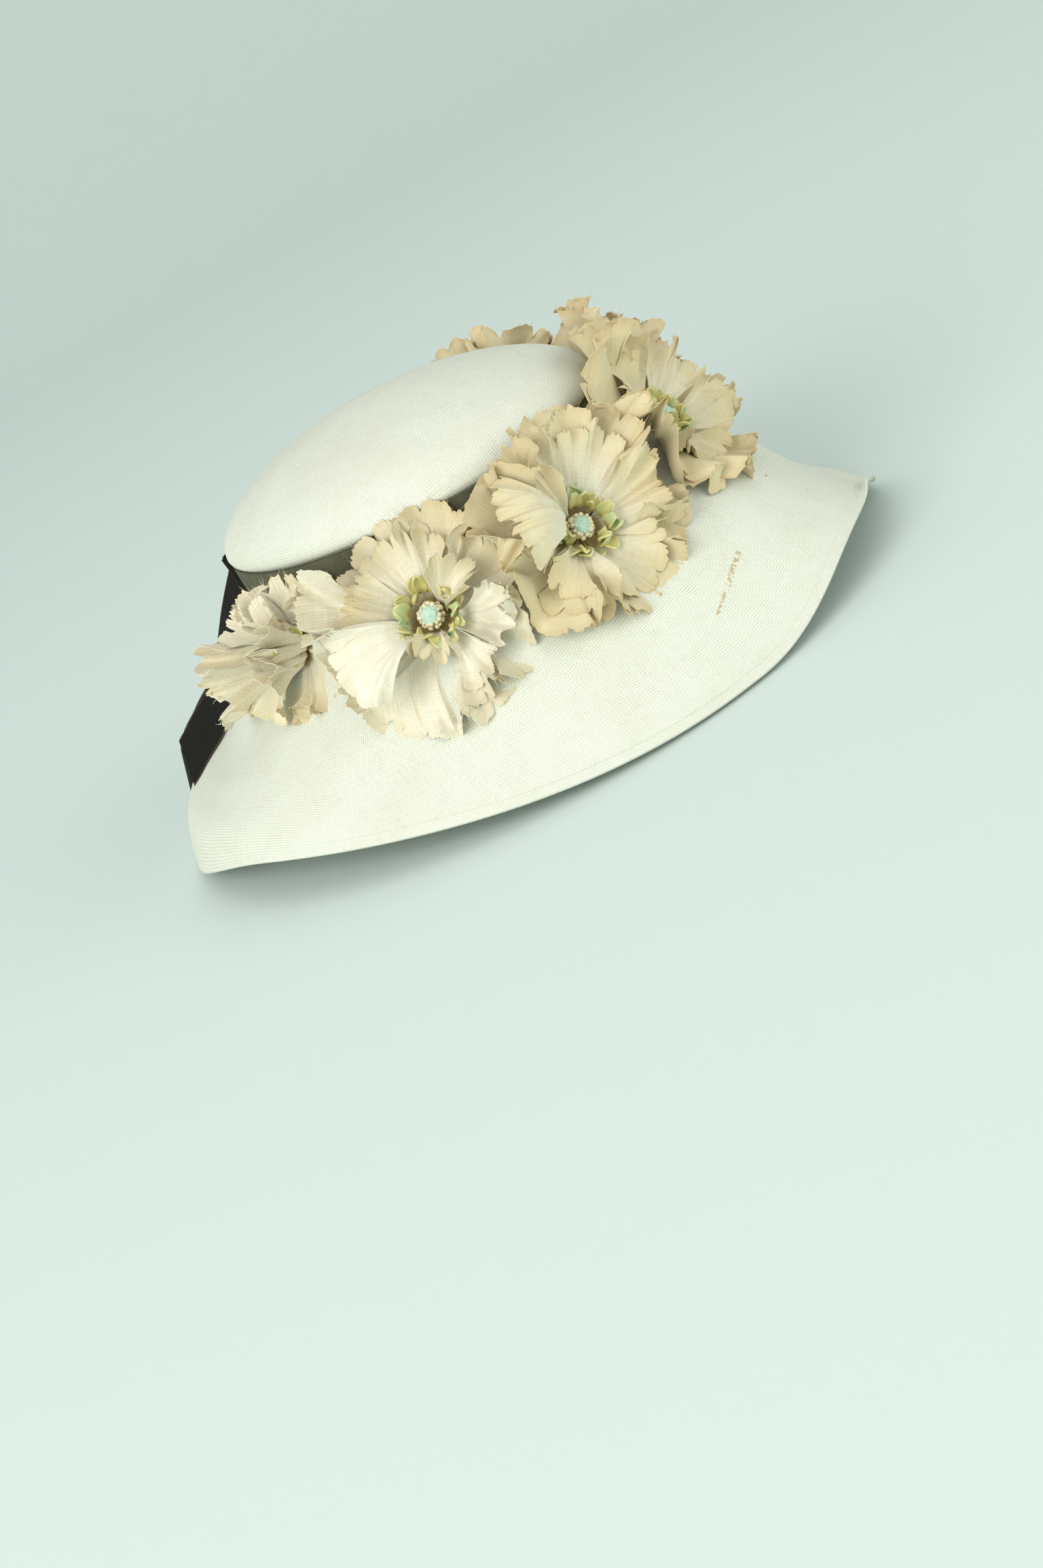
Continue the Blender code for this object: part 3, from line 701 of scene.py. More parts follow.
def ribbonTail(name, start, end, reach, startLift, endLift, startTilt, endTilt, wave):
    knotOutside = float(knotSeat @ knotAway) + knotMake["depth"] + hat["fit"]
    along = np.linspace(0, 1, tailMake["rows"] + 1)
    across = np.linspace(0, 1, tailMake["columns"] + 1) * tailWidth
    heading = start + (end - start) * along
    tilt = np.radians(startTilt + (endTilt - startTilt) * along)[:, None]
    out = outFrom(heading)
    root, rim = brimRadius(heading, 0.0), brimRadius(heading, 1.0)
    first = (knotOutside / (out @ knotAway) - root) / (rim - root)
    edge = out * brimRadius(heading, first + (reach - first) * along)[:, None]
    side = outFrom(heading + 90)
    points = edge[:, None] + side[:, None] * (across * np.cos(tilt))[..., None]
    short = np.maximum(knotOutside - points @ knotAway, 0)
    points = points + knotAway * short[..., None]
    lift = startLift + (endLift - startLift) * along
    curl = wave * np.sin(along * 7.0)[:, None] * (across / tailWidth)[None] * (1 - along[:, None] * 0.4)
    points[..., 2] = (brimTop(edge) + lift)[:, None] + across * np.sin(tilt) + curl
    points[..., 2] = np.maximum(points[..., 2], brimTop(points) + hat["fit"])
    steps = np.linalg.norm(np.diff(points[:, 0], axis=0), axis=1)
    length = np.append(0, np.cumsum(steps))
    flat = np.stack(np.broadcast_arrays(length[:, None], across[None]), axis=-1)
    tail = sheetGrid(name.replace("ribbon_", "") + "_ribbon", points, {"weave": flat}, away=Vector((0, 0, 1)))
    wall(tail, tailMake["thickness"], offset=1)
    finishPiece(tail, tailRibbon, "ribbon", name)


for row in tailMake["tails"]:
    ribbonTail(*row)
print("ribbon: band, knot and", len(tailMake["tails"]), "tails")


# olive is painted shade under the stamens and in the pinholes; creased and relief set how much painted shade the
# creases and the low places between threads get
petalLook = {
    "cream": (0.770, 0.685, 0.465, 1), "pale": (0.930, 0.915, 0.825, 1), "tan": (0.640, 0.460, 0.230, 1),
    "oliveShade": (0.330, 0.240, 0.075, 1), "threads": 1500.0, "roughness": 0.95, "subsurface": 0.45,
    "creaseShaded": 0.45, "reliefShade": 0.28, "slub": 0.22, "pinholes": 0.45,
    "stain": (0.330, 0.160, 0.065, 1), "stainPlace": (-0.1023, 0.0172, 0.1000), "stainSize": 0.0062,
}


def petalMaterial():
    look, tree, shader = newMaterial("creamCotton", petalLook["roughness"],
                                     subsurface=petalLook["subsurface"], specular=0.04)
    shares = parts(tree, uvMap(tree, "share"))
    tint = parts(tree, uvMap(tree, "tone"))[0]
    cloth = uvMap(tree, "cloth")
    weave = useGroup(tree, weaveGroup, Place=cloth, Threads=petalLook["threads"], Gap=0.14, Unevenness=0.35, Lift=0.3)
    aged = useGroup(tree, ageingGroup, Place=objectPlace(tree), Clean=petalLook["pale"],
                    Aged=petalLook["cream"], Amount=0.6)
    lines = []
    for scale in ((1.0, 0.04, 1.0), (0.04, 1.0, 1.0)):
        stretched = tree.nodes.new("ShaderNodeMapping")
        stretched.inputs["Scale"].default_value = scale
        feed(tree, stretched.inputs["Vector"], cloth)
        lines.append(cloud(tree, stretched.outputs[0], 1500.0, 2.0))
    slub = smoothStep(tree, calc(tree, "ADD", *lines), 0.80, 1.25)
    # painted shade: streaks stretched along the petal darken its creases towards tan
    streaks = tree.nodes.new("ShaderNodeMapping")
    streaks.inputs["Scale"].default_value = (1.0, 0.10, 1.0)
    feed(tree, streaks.inputs["Vector"], cloth)
    crease = smoothStep(tree, cloud(tree, streaks.outputs[0], 240.0, 3.0), 0.58, 0.74)
    outer = smoothStep(tree, calc(tree, "MULTIPLY_ADD", tint, 1.0, shares[1]), 0.45, 1.40)
    base = mixColour(tree, outer, aged.outputs["Colour"], petalLook["cream"])
    creaseShaded = mixColour(tree, calc(tree, "MULTIPLY", crease, petalLook["creaseShaded"]), base, petalLook["tan"])
    hem = calc(tree, "MULTIPLY", smoothStep(tree, shares[1], 0.90, 1.0), calc(tree, "MULTIPLY_ADD", tint, 0.4, 0.12))
    edged = mixColour(tree, hem, creaseShaded, petalLook["tan"])
    # painted shade: the petal's root, under the stamens, is darkened towards olive
    underStamenShade = smoothStep(tree, shares[1], 0.27, 0.15, 0.0, 0.95)
    rooted = mixColour(tree, underStamenShade, edged, petalLook["oliveShade"])
    # painted shade between the threads, added to the real tan of the thicker slub threads
    reliefShade = smoothStep(tree, weave.outputs["Height"], 0.2, 0.8, petalLook["reliefShade"], 0.0)
    slubAndThreadShade = calc(tree, "MULTIPLY_ADD", slub, petalLook["slub"], reliefShade)
    threads = mixColour(tree, slubAndThreadShade, rooted, petalLook["tan"])
    # painted shade: the pinholes between the threads are painted with the olive shade colour
    between = calc(tree, "MULTIPLY", weave.outputs["Gaps"], petalLook["pinholes"])
    pinholes = mixColour(tree, between, threads, petalLook["oliveShade"])
    place = objectPlace(tree)
    away = tree.nodes.new("ShaderNodeVectorMath")
    away.operation = "DISTANCE"
    feed(tree, away.inputs[0], place)
    away.inputs[1].default_value = petalLook["stainPlace"]
    ragged = calc(tree, "MULTIPLY_ADD", cloud(tree, place, 420.0, 3.0), 0.010, away.outputs["Value"])
    spot = smoothStep(tree, ragged, petalLook["stainSize"] + 0.003, petalLook["stainSize"] - 0.001, 0.0, 0.8)
    stained = mixColour(tree, spot, pinholes, petalLook["stain"])
    height = calc(tree, "MULTIPLY_ADD", slub, -0.8, weave.outputs["Height"])
    rough = calc(tree, "MULTIPLY_ADD", weave.outputs["Strand"], 0.1, petalLook["roughness"] - 0.08)
    dress(tree, shader, stained, bumped(tree, height, 0.35, 0.00012), rough)
    return look


# the dark colour is painted shade at the leaf roots
leafLook = {"yellow": (0.640, 0.565, 0.225, 1), "mint": (0.390, 0.550, 0.310, 1), "pale": (0.780, 0.720, 0.400, 1),
            "rootShade": (0.300, 0.255, 0.070, 1)}


def leafMaterial():
    look, tree, shader = newMaterial("leafStamens", 0.8, specular=0.2)
    shares = parts(tree, uvMap(tree, "share"))
    tint = tree.nodes.new("ShaderNodeTexWhiteNoise")
    tint.noise_dimensions = "1D"
    feed(tree, tint.inputs["W"], calc(tree, "FLOOR", shares[0]))
    place = objectPlace(tree)
    patch = calc(tree, "MULTIPLY_ADD", tint.outputs["Value"], 0.5, cloud(tree, place, 160.0, 3.0))
    green = mixColour(tree, smoothStep(tree, patch, 0.70, 0.98), leafLook["yellow"], leafLook["mint"])
    tip = mixColour(tree, smoothStep(tree, shares[1], 0.72, 1.0, 0.0, 0.6), green, leafLook["pale"])
    # painted shade: each leaf darkens towards its root, where it meets the disc
    root = mixColour(tree, smoothStep(tree, shares[1], 0.35, 0.0, 0.0, 0.7), tip, leafLook["rootShade"])
    grain = cloud(tree, place, 1400.0, 3.0, 0.7)
    dress(tree, shader, root, bumped(tree, grain, 0.3, 0.0002), calc(tree, "MULTIPLY_ADD", grain, 0.3, 0.62))
    return look


beadLook = {"cream": (0.860, 0.760, 0.520, 1), "brown": (0.600, 0.450, 0.230, 1), "mint": (0.400, 0.590, 0.470, 1),
            "mintPale": (0.620, 0.740, 0.610, 1)}


def beadMaterial():
    look, tree, shader = newMaterial("beadsAndDisc", 0.5, specular=0.45)
    shares = parts(tree, uvMap(tree, "share"))
    place = objectPlace(tree)
    fine = cloud(tree, place, 900.0, 4.0, 0.7)
    cream = mixColour(tree, smoothStep(tree, fine, 0.5, 0.75, 0.0, 0.7), beadLook["cream"], beadLook["brown"])
    mint = mixColour(tree, smoothStep(tree, fine, 0.35, 0.62), beadLook["mint"], beadLook["mintPale"])
    isDisc = smoothStep(tree, shares[0], 0.45, 0.55)
    colour = mixColour(tree, isDisc, cream, mint)
    dress(tree, shader, colour, bumped(tree, fine, 0.6, 0.0004), calc(tree, "MULTIPLY_ADD", isDisc, 0.3, 0.45))
    return look


petalCloth = petalMaterial()
leafFinish = leafMaterial()
beadFinish = beadMaterial()

# heading, out, rise, face and radius of each flower, as its solids have them
flowerMake = {
    "radius": 0.0470, "thickness": 0.00022, "columns": 114, "rows": 20, "root": 0.0030,
    "crowded": 0.94, "crowdSqueeze": 0.66, "crowdLift": 0.45, "clear": 0.0006, "over": 0.0006,
    "lobeDepth": 0.0020, "slit": 0.0040, "fray": 0.00062, "shingle": 0.0024, "crease": 0.0016, "seed": 11,
    "flowers": {"flower_a": (102, 0.0130, -0.0060, 25, 0.86), "flower_b": (60, 0.0150, -0.0140, 34, 1.04),
                "flower_c": (23, 0.0160, -0.0120, 30, 1.02), "flower_d": (-19, 0.0150, -0.0040, 32, 1.04),
                "flower_e": (-56, 0.0140, 0.0050, 12, 1.06), "flower_f": (-98, 0.0130, 0.0080, 10, 1.02)},
    "creaseSize": 0.0056, "castFrom": 0.16, "castReach": 0.20, "behind": 0.022,
    "foot": {"flower_a": 0.32},  # share of a petal that lies flat before it stands, else 0.12
    "plainGrid": (78, 15), "plainer": ("flower_e", "flower_f"),  # those that lie behind have fewer faces
}
# angle in the flower, reach and half spread, how steeply the petal stands, how its margin
# curls (up is positive) and how deep its waves are. The last number is its tint, pale to tan.
petalMake = {
    "flower_a": {
        "outer": ((15, 1.02, 46, 0.15, -0.2, 1.1, 0.2), (80, 0.84, 42, 0.3, 0.2, 1.2, 0.0),
                  (135, 0.9, 44, 0.5, 0.4, 1.4, 0.0), (195, 1.28, 40, 0.5, -0.4, 1.3, -0.1),
                  (255, 0.9, 46, 0.12, 0.3, 1.3, 0.4), (310, 0.9, 44, 0.15, -0.2, 1.4, 0.4)),
        "inner": ((12, 0.98, 30, 1.3, 0.5, 1.7, -0.2), (70, 0.8, 34, 1.15, -0.4, 1.5, -0.2),
                  (130, 0.88, 36, 1.15, -0.2, 1.6, -0.2), (188, 1.26, 32, 1.1, 0.3, 1.5, -0.1),
                  (246, 0.96, 34, 0.95, -0.7, 1.5, 0.1), (322, 0.96, 30, 1.25, 0.4, 1.7, -0.1)),
    },
    "flower_b": {
        "outer": ((0, 0.98, 44, 0.18, 0.3, 1.3, 0.2), (50, 0.98, 42, 0.16, 0.3, 1.2, 0.3),
                  (102, 0.94, 42, 0.14, -0.1, 1.1, 0.1), (163, 1.3, 25, 0.3, 0.5, 1.8, -0.2),
                  (212, 1.16, 42, 0.1, -0.2, 1.4, 0.0), (258, 1.12, 44, 0.02, 0.1, 1.3, -0.1),
                  (308, 1.02, 44, 0.08, 0.2, 1.4, 0.0)),
        "inner": ((98, 0.82, 44, 0.34, -0.2, 0.9, 0.2), (150, 0.86, 28, 0.62, -0.4, 1.3, 0.3),
                  (198, 1.26, 34, 0.92, -1.7, 0.9, -0.2), (252, 0.58, 36, 0.85, -0.2, 1.5, 0.2),
                  (318, 0.88, 38, 0.3, 0.5, 1.7, -0.2), (22, 0.74, 32, 0.95, -0.5, 1.5, 0.2)),
    },
    "flower_c": {
        "outer": ((-25, 1.04, 46, 0.06, 0.0, 1.3, 0.6), (34, 1.14, 44, 0.3, 0.3, 1.3, 0.6),
                  (86, 1.12, 42, 0.38, 0.2, 1.4, 0.5), (140, 1.14, 40, 0.42, 0.3, 1.9, 0.6),
                  (196, 1.16, 42, 0.26, -0.3, 1.7, 0.8), (248, 0.98, 46, 0.04, 0.0, 1.4, 0.8),
                  (298, 1.0, 46, 0.02, 0.1, 1.3, 0.6)),
        "inner": ((54, 0.94, 46, 0.55, -0.3, 0.7, 0.2), (112, 0.84, 28, 0.95, -0.9, 1.5, 0.4),
                  (160, 1.34, 34, 1.12, -1.8, 1.0, 0.3), (222, 0.82, 36, 0.52, -0.6, 1.6, 0.5),
                  (280, 0.82, 46, 0.24, -0.1, 1.2, 0.3), (342, 0.88, 38, 0.34, 0.4, 1.7, 0.4)),
    },
    "flower_d": {
        "outer": ((5, 1.02, 46, 0.2, 0.2, 1.3, 0.7), (62, 1.12, 44, 0.3, 0.3, 1.4, 0.7),
                  (118, 1.22, 44, 0.32, 0.4, 1.5, 0.8), (172, 1.16, 44, 0.16, 0.2, 1.5, 0.8),
                  (228, 1.06, 46, 0.12, -0.1, 1.4, 0.8), (290, 0.92, 46, 0.1, 0.1, 1.4, 0.7)),
        "inner": ((28, 0.86, 38, 0.8, -0.2, 1.5, 0.3), (98, 0.92, 38, 0.62, -0.3, 1.5, 0.5),
                  (163, 0.76, 34, 0.34, -0.4, 1.6, 0.6), (228, 0.72, 38, 0.3, -0.3, 1.6, 0.5),
                  (302, 0.8, 38, 0.66, 0.1, 1.6, 0.3)),
    },
    "flower_e": {
        "outer": ((15, 0.96, 46, 0.1, 0.2, 1.2, 0.8), (75, 0.94, 44, 0.14, 0.3, 1.2, 0.9),
                  (135, 0.96, 44, 0.18, 0.2, 1.2, 0.9), (195, 1.0, 46, 0.12, 0.1, 1.2, 0.8),
                  (255, 1.0, 46, 0.04, 0.0, 1.2, 0.7), (315, 1.0, 46, 0.06, 0.1, 1.2, 0.7)),
        "inner": ((40, 0.78, 40, 0.4, -0.2, 1.2, 0.7), (112, 0.76, 40, 0.45, -0.2, 1.3, 0.7),
                  (184, 0.8, 40, 0.5, -0.3, 1.2, 0.6), (256, 0.8, 40, 0.35, -0.1, 1.2, 0.5),
                  (328, 0.82, 40, 0.4, -0.2, 1.2, 0.6)),
    },
    "flower_f": {
        "outer": ((0, 0.94, 46, 0.08, 0.1, 1.3, 0.7), (60, 0.9, 44, 0.1, 0.3, 1.4, 0.8),
                  (120, 0.92, 46, 0.12, 0.3, 1.3, 0.8), (180, 0.98, 46, 0.08, 0.1, 1.3, 0.6),
                  (240, 1.0, 46, 0.03, 0.0, 1.2, 0.5), (300, 1.0, 46, 0.03, 0.1, 1.2, 0.5)),
        "inner": ((25, 0.78, 40, 0.35, -0.2, 1.3, 0.5), (97, 0.7, 40, 0.35, -0.2, 1.4, 0.6),
                  (169, 0.78, 40, 0.4, -0.3, 1.4, 0.5), (241, 0.8, 40, 0.3, -0.1, 1.2, 0.4),
                  (313, 0.82, 40, 0.35, -0.2, 1.3, 0.5)),
    },
}


def flowerFrame(heading, out, rise, face):
    face = math.radians(face)
    outward = Vector(outFrom(float(heading)))
    look = outward * math.cos(face) + Vector((0, 0, math.sin(face)))
    up = Vector((0, 0, math.cos(face))) - outward * math.sin(face)
    side = up.cross(look)
    place = outward * float(headRadius(heading) + bandOutside + out)
    place.z = hat["footHeight"] + rise
    return Matrix.Translation(place) @ Matrix((side, up, look)).transposed().to_4x4()


def halfRoom(name):
    names = list(flowerMake["flowers"])
    index = names.index(name)
    heading, out = flowerMake["flowers"][name][:2]
    radius = float(headRadius(heading)) + bandOutside + out
    rooms = []
    for other in (index - 1, index + 1):
        if 0 <= other < len(names):
            apart = abs(flowerMake["flowers"][names[other]][0] - heading)
            rooms.append(radius * math.tan(math.radians(apart) / 2) - hat["fit"])
        else:
            rooms.append(0.1)
    return rooms


def toWorld(frameMatrix, local):
    return local @ np.array(frameMatrix.to_3x3()).T + np.array(frameMatrix.translation)


def clearOfHat(frameMatrix, local, spare):
    # lifts points off the flower's back until they clear the brim and the crown
    local = local.copy()
    for _ in range(120):
        world = toWorld(frameMatrix, local)
        heading = np.degrees(np.arctan2(-world[..., 0], -world[..., 1]))
        overBrim = world[..., 2] - brimTop(world)
        offCrown = np.hypot(world[..., 0], world[..., 1]) - crownRadius(heading, world[..., 2])
        offCrown = np.where(world[..., 2] > tipHeight, 1.0, offCrown)
        bad = (overBrim < spare) | (offCrown < spare)
        if not bad.any():
            break
        local[..., 2] += np.where(bad, 0.0005, 0.0)
    return local


def smoothed(field, floorField, rounds):
    # relaxes a height field without letting it sink under the floor field
    for _ in range(rounds):
        wide = np.pad(field, 1, mode="edge")
        field = (wide[:-2, 1:-1] + wide[2:, 1:-1] + wide[1:-1, :-2] + wide[1:-1, 2:] + 4 * field) / 8
        field = np.maximum(field, floorField)
    return field


laidCloth = {"verts": [], "faces": []}  # every petal laid so far, as bare grids


def layOver(frameMatrix, local):
    # lays a petal over the ones before it, seen along the flower's own axis
    if laidCloth["verts"]:
        tree = BVHTree.FromPolygons(laidCloth["verts"], laidCloth["faces"])
        look = Vector(frameMatrix.col[2][:3])
        above = local.copy()
        above[..., 2] = flowerMake["castFrom"]
        starts = toWorld(frameMatrix, above).reshape(-1, 3)
        bound = np.full(len(starts), -1.0)
        for k, start in enumerate(starts):
            hit = tree.ray_cast(Vector(start), -look, flowerMake["castReach"])
            if hit[0] is not None:
                bound[k] = flowerMake["castFrom"] - hit[3] + flowerMake["over"]
        bound = bound.reshape(local.shape[:-1])
        rise = np.clip(bound - local[..., 2], 0, None)
        rise = np.where(rise > flowerMake["behind"], 0.0, rise)  # far below a standing petal it stays behind it
        lifted = smoothed(rise, rise, 14)
        local = local.copy()
        local[..., 2] += lifted
    return local


def rememberCloth(world):
    first = len(laidCloth["verts"])
    rows, columns = world.shape[:2]
    laidCloth["verts"] += [tuple(point) for point in world.reshape(-1, 3)]
    for row in range(rows - 1):
        for column in range(0, columns - 1):
            corner = first + row * columns + column
            laidCloth["faces"].append((corner, corner + 1, corner + columns + 1, corner + columns))


def petalMargin(s, radius, rng):
    # rounded lobes with slits between them and a frayed line, and how the lobes overlap
    lobes = int(rng.integers(7, 10))
    at = lobes * (s + 1) / 2 + 0.18 * np.sin(s * 4 + rng.uniform(0, 6))
    lobe = 1 - np.abs(np.sin(np.pi * at)) ** 0.55
    toSlit = np.abs(at - np.rint(at)) / lobes * 2 * radius * 0.7
    deep = rng.uniform(0.1, 1.5, lobes + 3)[np.clip(np.rint(at).astype(int), 0, lobes + 2)]
    slit = flowerMake["slit"] * deep * np.exp(-((toSlit / 0.0006) ** 2))
    saw = np.abs((np.arange(s.size) * 0.37 + rng.uniform(0, 1)) % 1 - 0.5) * 4 - 1
    teeth = flowerMake["fray"] * (rng.uniform(-0.9, 0.9, s.shape) + 0.9 * saw)
    tilts = rng.uniform(0.2, 1.0, lobes + 3)[np.clip(np.floor(at).astype(int), 0, lobes + 2)]
    shingle = flowerMake["shingle"] * tilts * (at - np.floor(at) - 0.5) * rng.choice((-1, 1))
    return flowerMake["lobeDepth"] * lobe * rng.uniform(0.7, 1.2) + slit + teeth, shingle


def petalShape(name, frameMatrix, number, row, rng):
    angle, reach, halfSpread, stand, curl, waves, tint = row
    far = name in flowerMake["plainer"]
    columns, rows = flowerMake["plainGrid"] if far else (flowerMake["columns"], flowerMake["rows"])
    radius = flowerMake["radius"] * flowerMake["flowers"][name][4] * reach
    s = np.linspace(-1, 1, columns + 1)[None]
    t = 1 - (1 - np.linspace(0, 1, rows + 1)[:, None]) ** 1.3
    outline = 1 - 0.15 * np.abs(s) ** 3.2 + 0.03 * np.sin(s * 3 + rng.uniform(0, 6))
    length = (radius - flowerMake["root"]) * outline
    cut, shingle = petalMargin(s, radius, rng)
    phase, count = rng.uniform(0, 6.28), rng.uniform(1.1, 1.7)
    drift = rng.uniform(-0.9, 0.9)
    wave = np.arcsin(0.96 * np.sin(count * np.pi * s + phase + drift * t)) / 1.28
    small = np.sin(2.7 * count * np.pi * s + 2 * phase - drift * t * 1.5)
    ruffle = np.sin(5.6 * count * np.pi * s + 3 * phase + 2 * drift * t)
    # slope of the cloth from root to margin
    foot = flowerMake["foot"].get(name, 0.12)
    slope = 0.26 * t + stand * np.clip(1.25 - 0.5 * t, 0, 1.2) * np.clip(t / foot, 0, 1)
    slope = slope + curl * np.clip((t - 0.35) / 0.65, 0, 1) ** 1.3 * (1 + 0.25 * wave)
    slope = slope + waves * (0.36 * t * wave + 0.17 * t**1.5 * small + 0.12 * t**4 * ruffle)
    step = np.diff(t, axis=0) * length
    middle = (slope[1:] + slope[:-1]) / 2
    out = np.vstack([np.zeros((1, columns + 1)), np.cumsum(np.cos(middle) * step, axis=0)])
    up = np.vstack([np.zeros((1, columns + 1)), np.cumsum(np.sin(middle) * step, axis=0)])
    lastOut, lastUp = np.cos(slope), np.sin(slope)
    out = out - cut * t**10 * lastOut - shingle * t**3 * lastUp
    up = up - cut * t**10 * lastUp + shingle * t**3 * lastOut
    pleats = 0.00028 * np.sin(7.5 * np.pi * s + phase) * np.exp(-(((t - 0.35) / 0.28) ** 2))
    spread = math.radians(halfSpread) * (0.72 + 0.34 * t - 0.06 * t**2)
    sway = 0.10 * waves * t**1.6 * np.cos(count * np.pi * s + phase + drift * t)
    around = math.radians(angle) + s * spread + sway
    span = flowerMake["root"] + out
    x, y = span * np.cos(around), span * np.sin(around)
    folds = np.stack(np.broadcast_arrays(s * spread * 0.030, t * 0.011 + s * 0.002, number * 0.01), axis=-1)
    creases = 0.3 - np.abs(wobble(folds, flowerMake["creaseSize"], number + angle * 0.01))
    crease = flowerMake["crease"] * creases * np.clip(t / 0.3, 0, 1)
    height = 0.0004 + up + pleats + crease + 0.0012 * s * t
    left, right = halfRoom(name)
    room = np.where(x > 0, right, left) * flowerMake["crowded"]
    crowd = np.maximum(np.abs(x) - room, 0)
    x = np.where(crowd > 0, np.sign(x) * (room + crowd * flowerMake["crowdSqueeze"]), x)
    height = height + crowd * flowerMake["crowdLift"]
    local = np.stack([x, y, height], axis=-1)
    local[..., 2] += wobble(local, 0.013, number * 1.7 + angle * 0.01) * 0.0024 * t**1.3
    lift = clearOfHat(frameMatrix, local, flowerMake["clear"])[..., 2] - local[..., 2]
    local[..., 2] += smoothed(lift, lift, 16)
    local = layOver(frameMatrix, local)
    world = toWorld(frameMatrix, local)
    rememberCloth(world)
    along = t * length
    across = s * spread * (along + flowerMake["root"])
    cloth = np.stack([across + number * 0.37, along + 0 * s + number * 0.21], axis=-1)
    share = np.stack([number + 0.5 + 0.45 * s + 0 * t, t + 0 * s], axis=-1)
    tone = np.stack([tint + 0 * (s + t), 0 * (s + t)], axis=-1)
    petal = sheetGrid("petal", world, {"cloth": cloth, "share": share, "tone": tone},
                      away=Vector(frameMatrix.col[2][:3]) if stand < 0.9 else None)
    wall(petal, flowerMake["thickness"])
    return petal, world[-1]


threadMake = {"perPetal": 15, "width": 0.00008, "length": (0.0012, 0.0048)}


def looseThreads(margin, centre, number, tint, rng):
    # a few frayed threads that stick out of a petal's margin
    pieces = []
    for _ in range(threadMake["perPetal"]):
        start = margin[int(rng.integers(3, len(margin) - 3))]
        out = start - centre
        out = out / np.linalg.norm(out)
        stray = rng.normal(0, 0.55, 3)
        reach = rng.uniform(*threadMake["length"])
        t = np.linspace(0, 1, 7)[:, None]
        bend = np.cross(out, rng.normal(0, 1, 3)) * 0.35
        spine = start - out * 0.0008 + (out + stray * 0.5) * reach * t + bend * reach * t**2
        ring = np.linspace(0, 2 * np.pi, 4)
        side = np.cross(out, (0.3, 0.2, 0.9))
        side = side / np.linalg.norm(side)
        other = np.cross(out, side)
        fat = threadMake["width"] * np.array([0, 1, 1, 1, 0.9, 0.7, 0])[:, None]
        around = np.cos(ring)[None, :, None] * side + np.sin(ring)[None, :, None] * other
        points = spine[:, None] + fat[..., None] * around
        flat = np.zeros(points.shape[:2] + (2,))
        share = flat + (number + 0.5, 0.99)
        maps = {"cloth": flat, "share": share, "tone": flat + (tint, 0)}
        pieces.append(sheetGrid("thread", points, maps, closed=True))
    return pieces


leafMake = {
    "length": 0.0072, "halfWidth": 0.0028, "thickness": 0.0010, "columns": 8, "rows": 10,
    # number of leaves, sway round the ring, reach, rise over the seat, lean and number of the first
    "rings": ((14, (-0.18, 0.18), (0.0088, 0.0110), 0.0004, (5, 65), 0),
              (11, (0.0, 0.8 * math.tau / 11), (0.0078, 0.0102), 0.0012, (45, 100), 20)),
    "larger": {"flower_a": 0.72, "flower_b": 1.16, "flower_c": 1.12},
}


def leafStamen(frameMatrix, number, angle, reach, rise, lean, size, rng):
    # a thick cupped leaf, rooted near the flower's middle
    s = np.linspace(-1, 1, leafMake["columns"] + 1)[None]
    t = np.linspace(0, 1, leafMake["rows"] + 1)[:, None]
    length = leafMake["length"] * size * rng.uniform(0.75, 1.15)
    width = leafMake["halfWidth"] * size * rng.uniform(0.75, 1.15)
    half = width * np.sin(np.pi * np.clip(t**0.9 * 0.93 + 0.05, 0, 1)) ** 0.8
    across = s * half
    along = t * length
    cup = rng.uniform(0.3, 0.75) * width * s**2 * np.sin(np.pi * t * 0.8 + 0.3)
    hook = rng.uniform(-0.9, 1.2)
    arch = 0.0015 * np.sin(np.pi * t) * hook - 0.0016 * t**3 * hook
    tilt = math.radians(lean)
    out = reach + along * math.cos(tilt) - (cup + arch) * math.sin(tilt)
    up = rise + along * math.sin(tilt) + (cup + arch) * math.cos(tilt)
    turn = rng.uniform(-0.6, 0.6)
    aim = angle + rng.uniform(-0.55, 0.55)
    rootX, rootY = reach * math.cos(angle), reach * math.sin(angle)
    side = across * math.cos(turn)
    ahead = out - reach
    local = np.stack([rootX + ahead * math.cos(aim) - side * math.sin(aim),
                      rootY + ahead * math.sin(aim) + side * math.cos(aim), up + across * math.sin(turn)], axis=-1)
    world = toWorld(frameMatrix, local)
    share = np.stack([number + 0.5 + 0.45 * s + 0 * t, t + 0 * s], axis=-1)
    leaf = sheetGrid("leaf", world, {"share": share}, away=Vector(frameMatrix.col[2][:3]))
    wall(leaf, leafMake["thickness"])
    return leaf


def markShare(piece, value):
    mesh = piece.data
    while mesh.uv_layers:
        mesh.uv_layers.remove(mesh.uv_layers[0])
    layer = mesh.uv_layers.new(name="share")
    layer.data.foreach_set("uv", np.tile((value, 0.5), len(mesh.loops)))


discMake = {"radius": 0.0041, "height": 0.0021, "grain": 0.0006, "beads": 28, "beadRadius": (0.0008, 0.00125)}


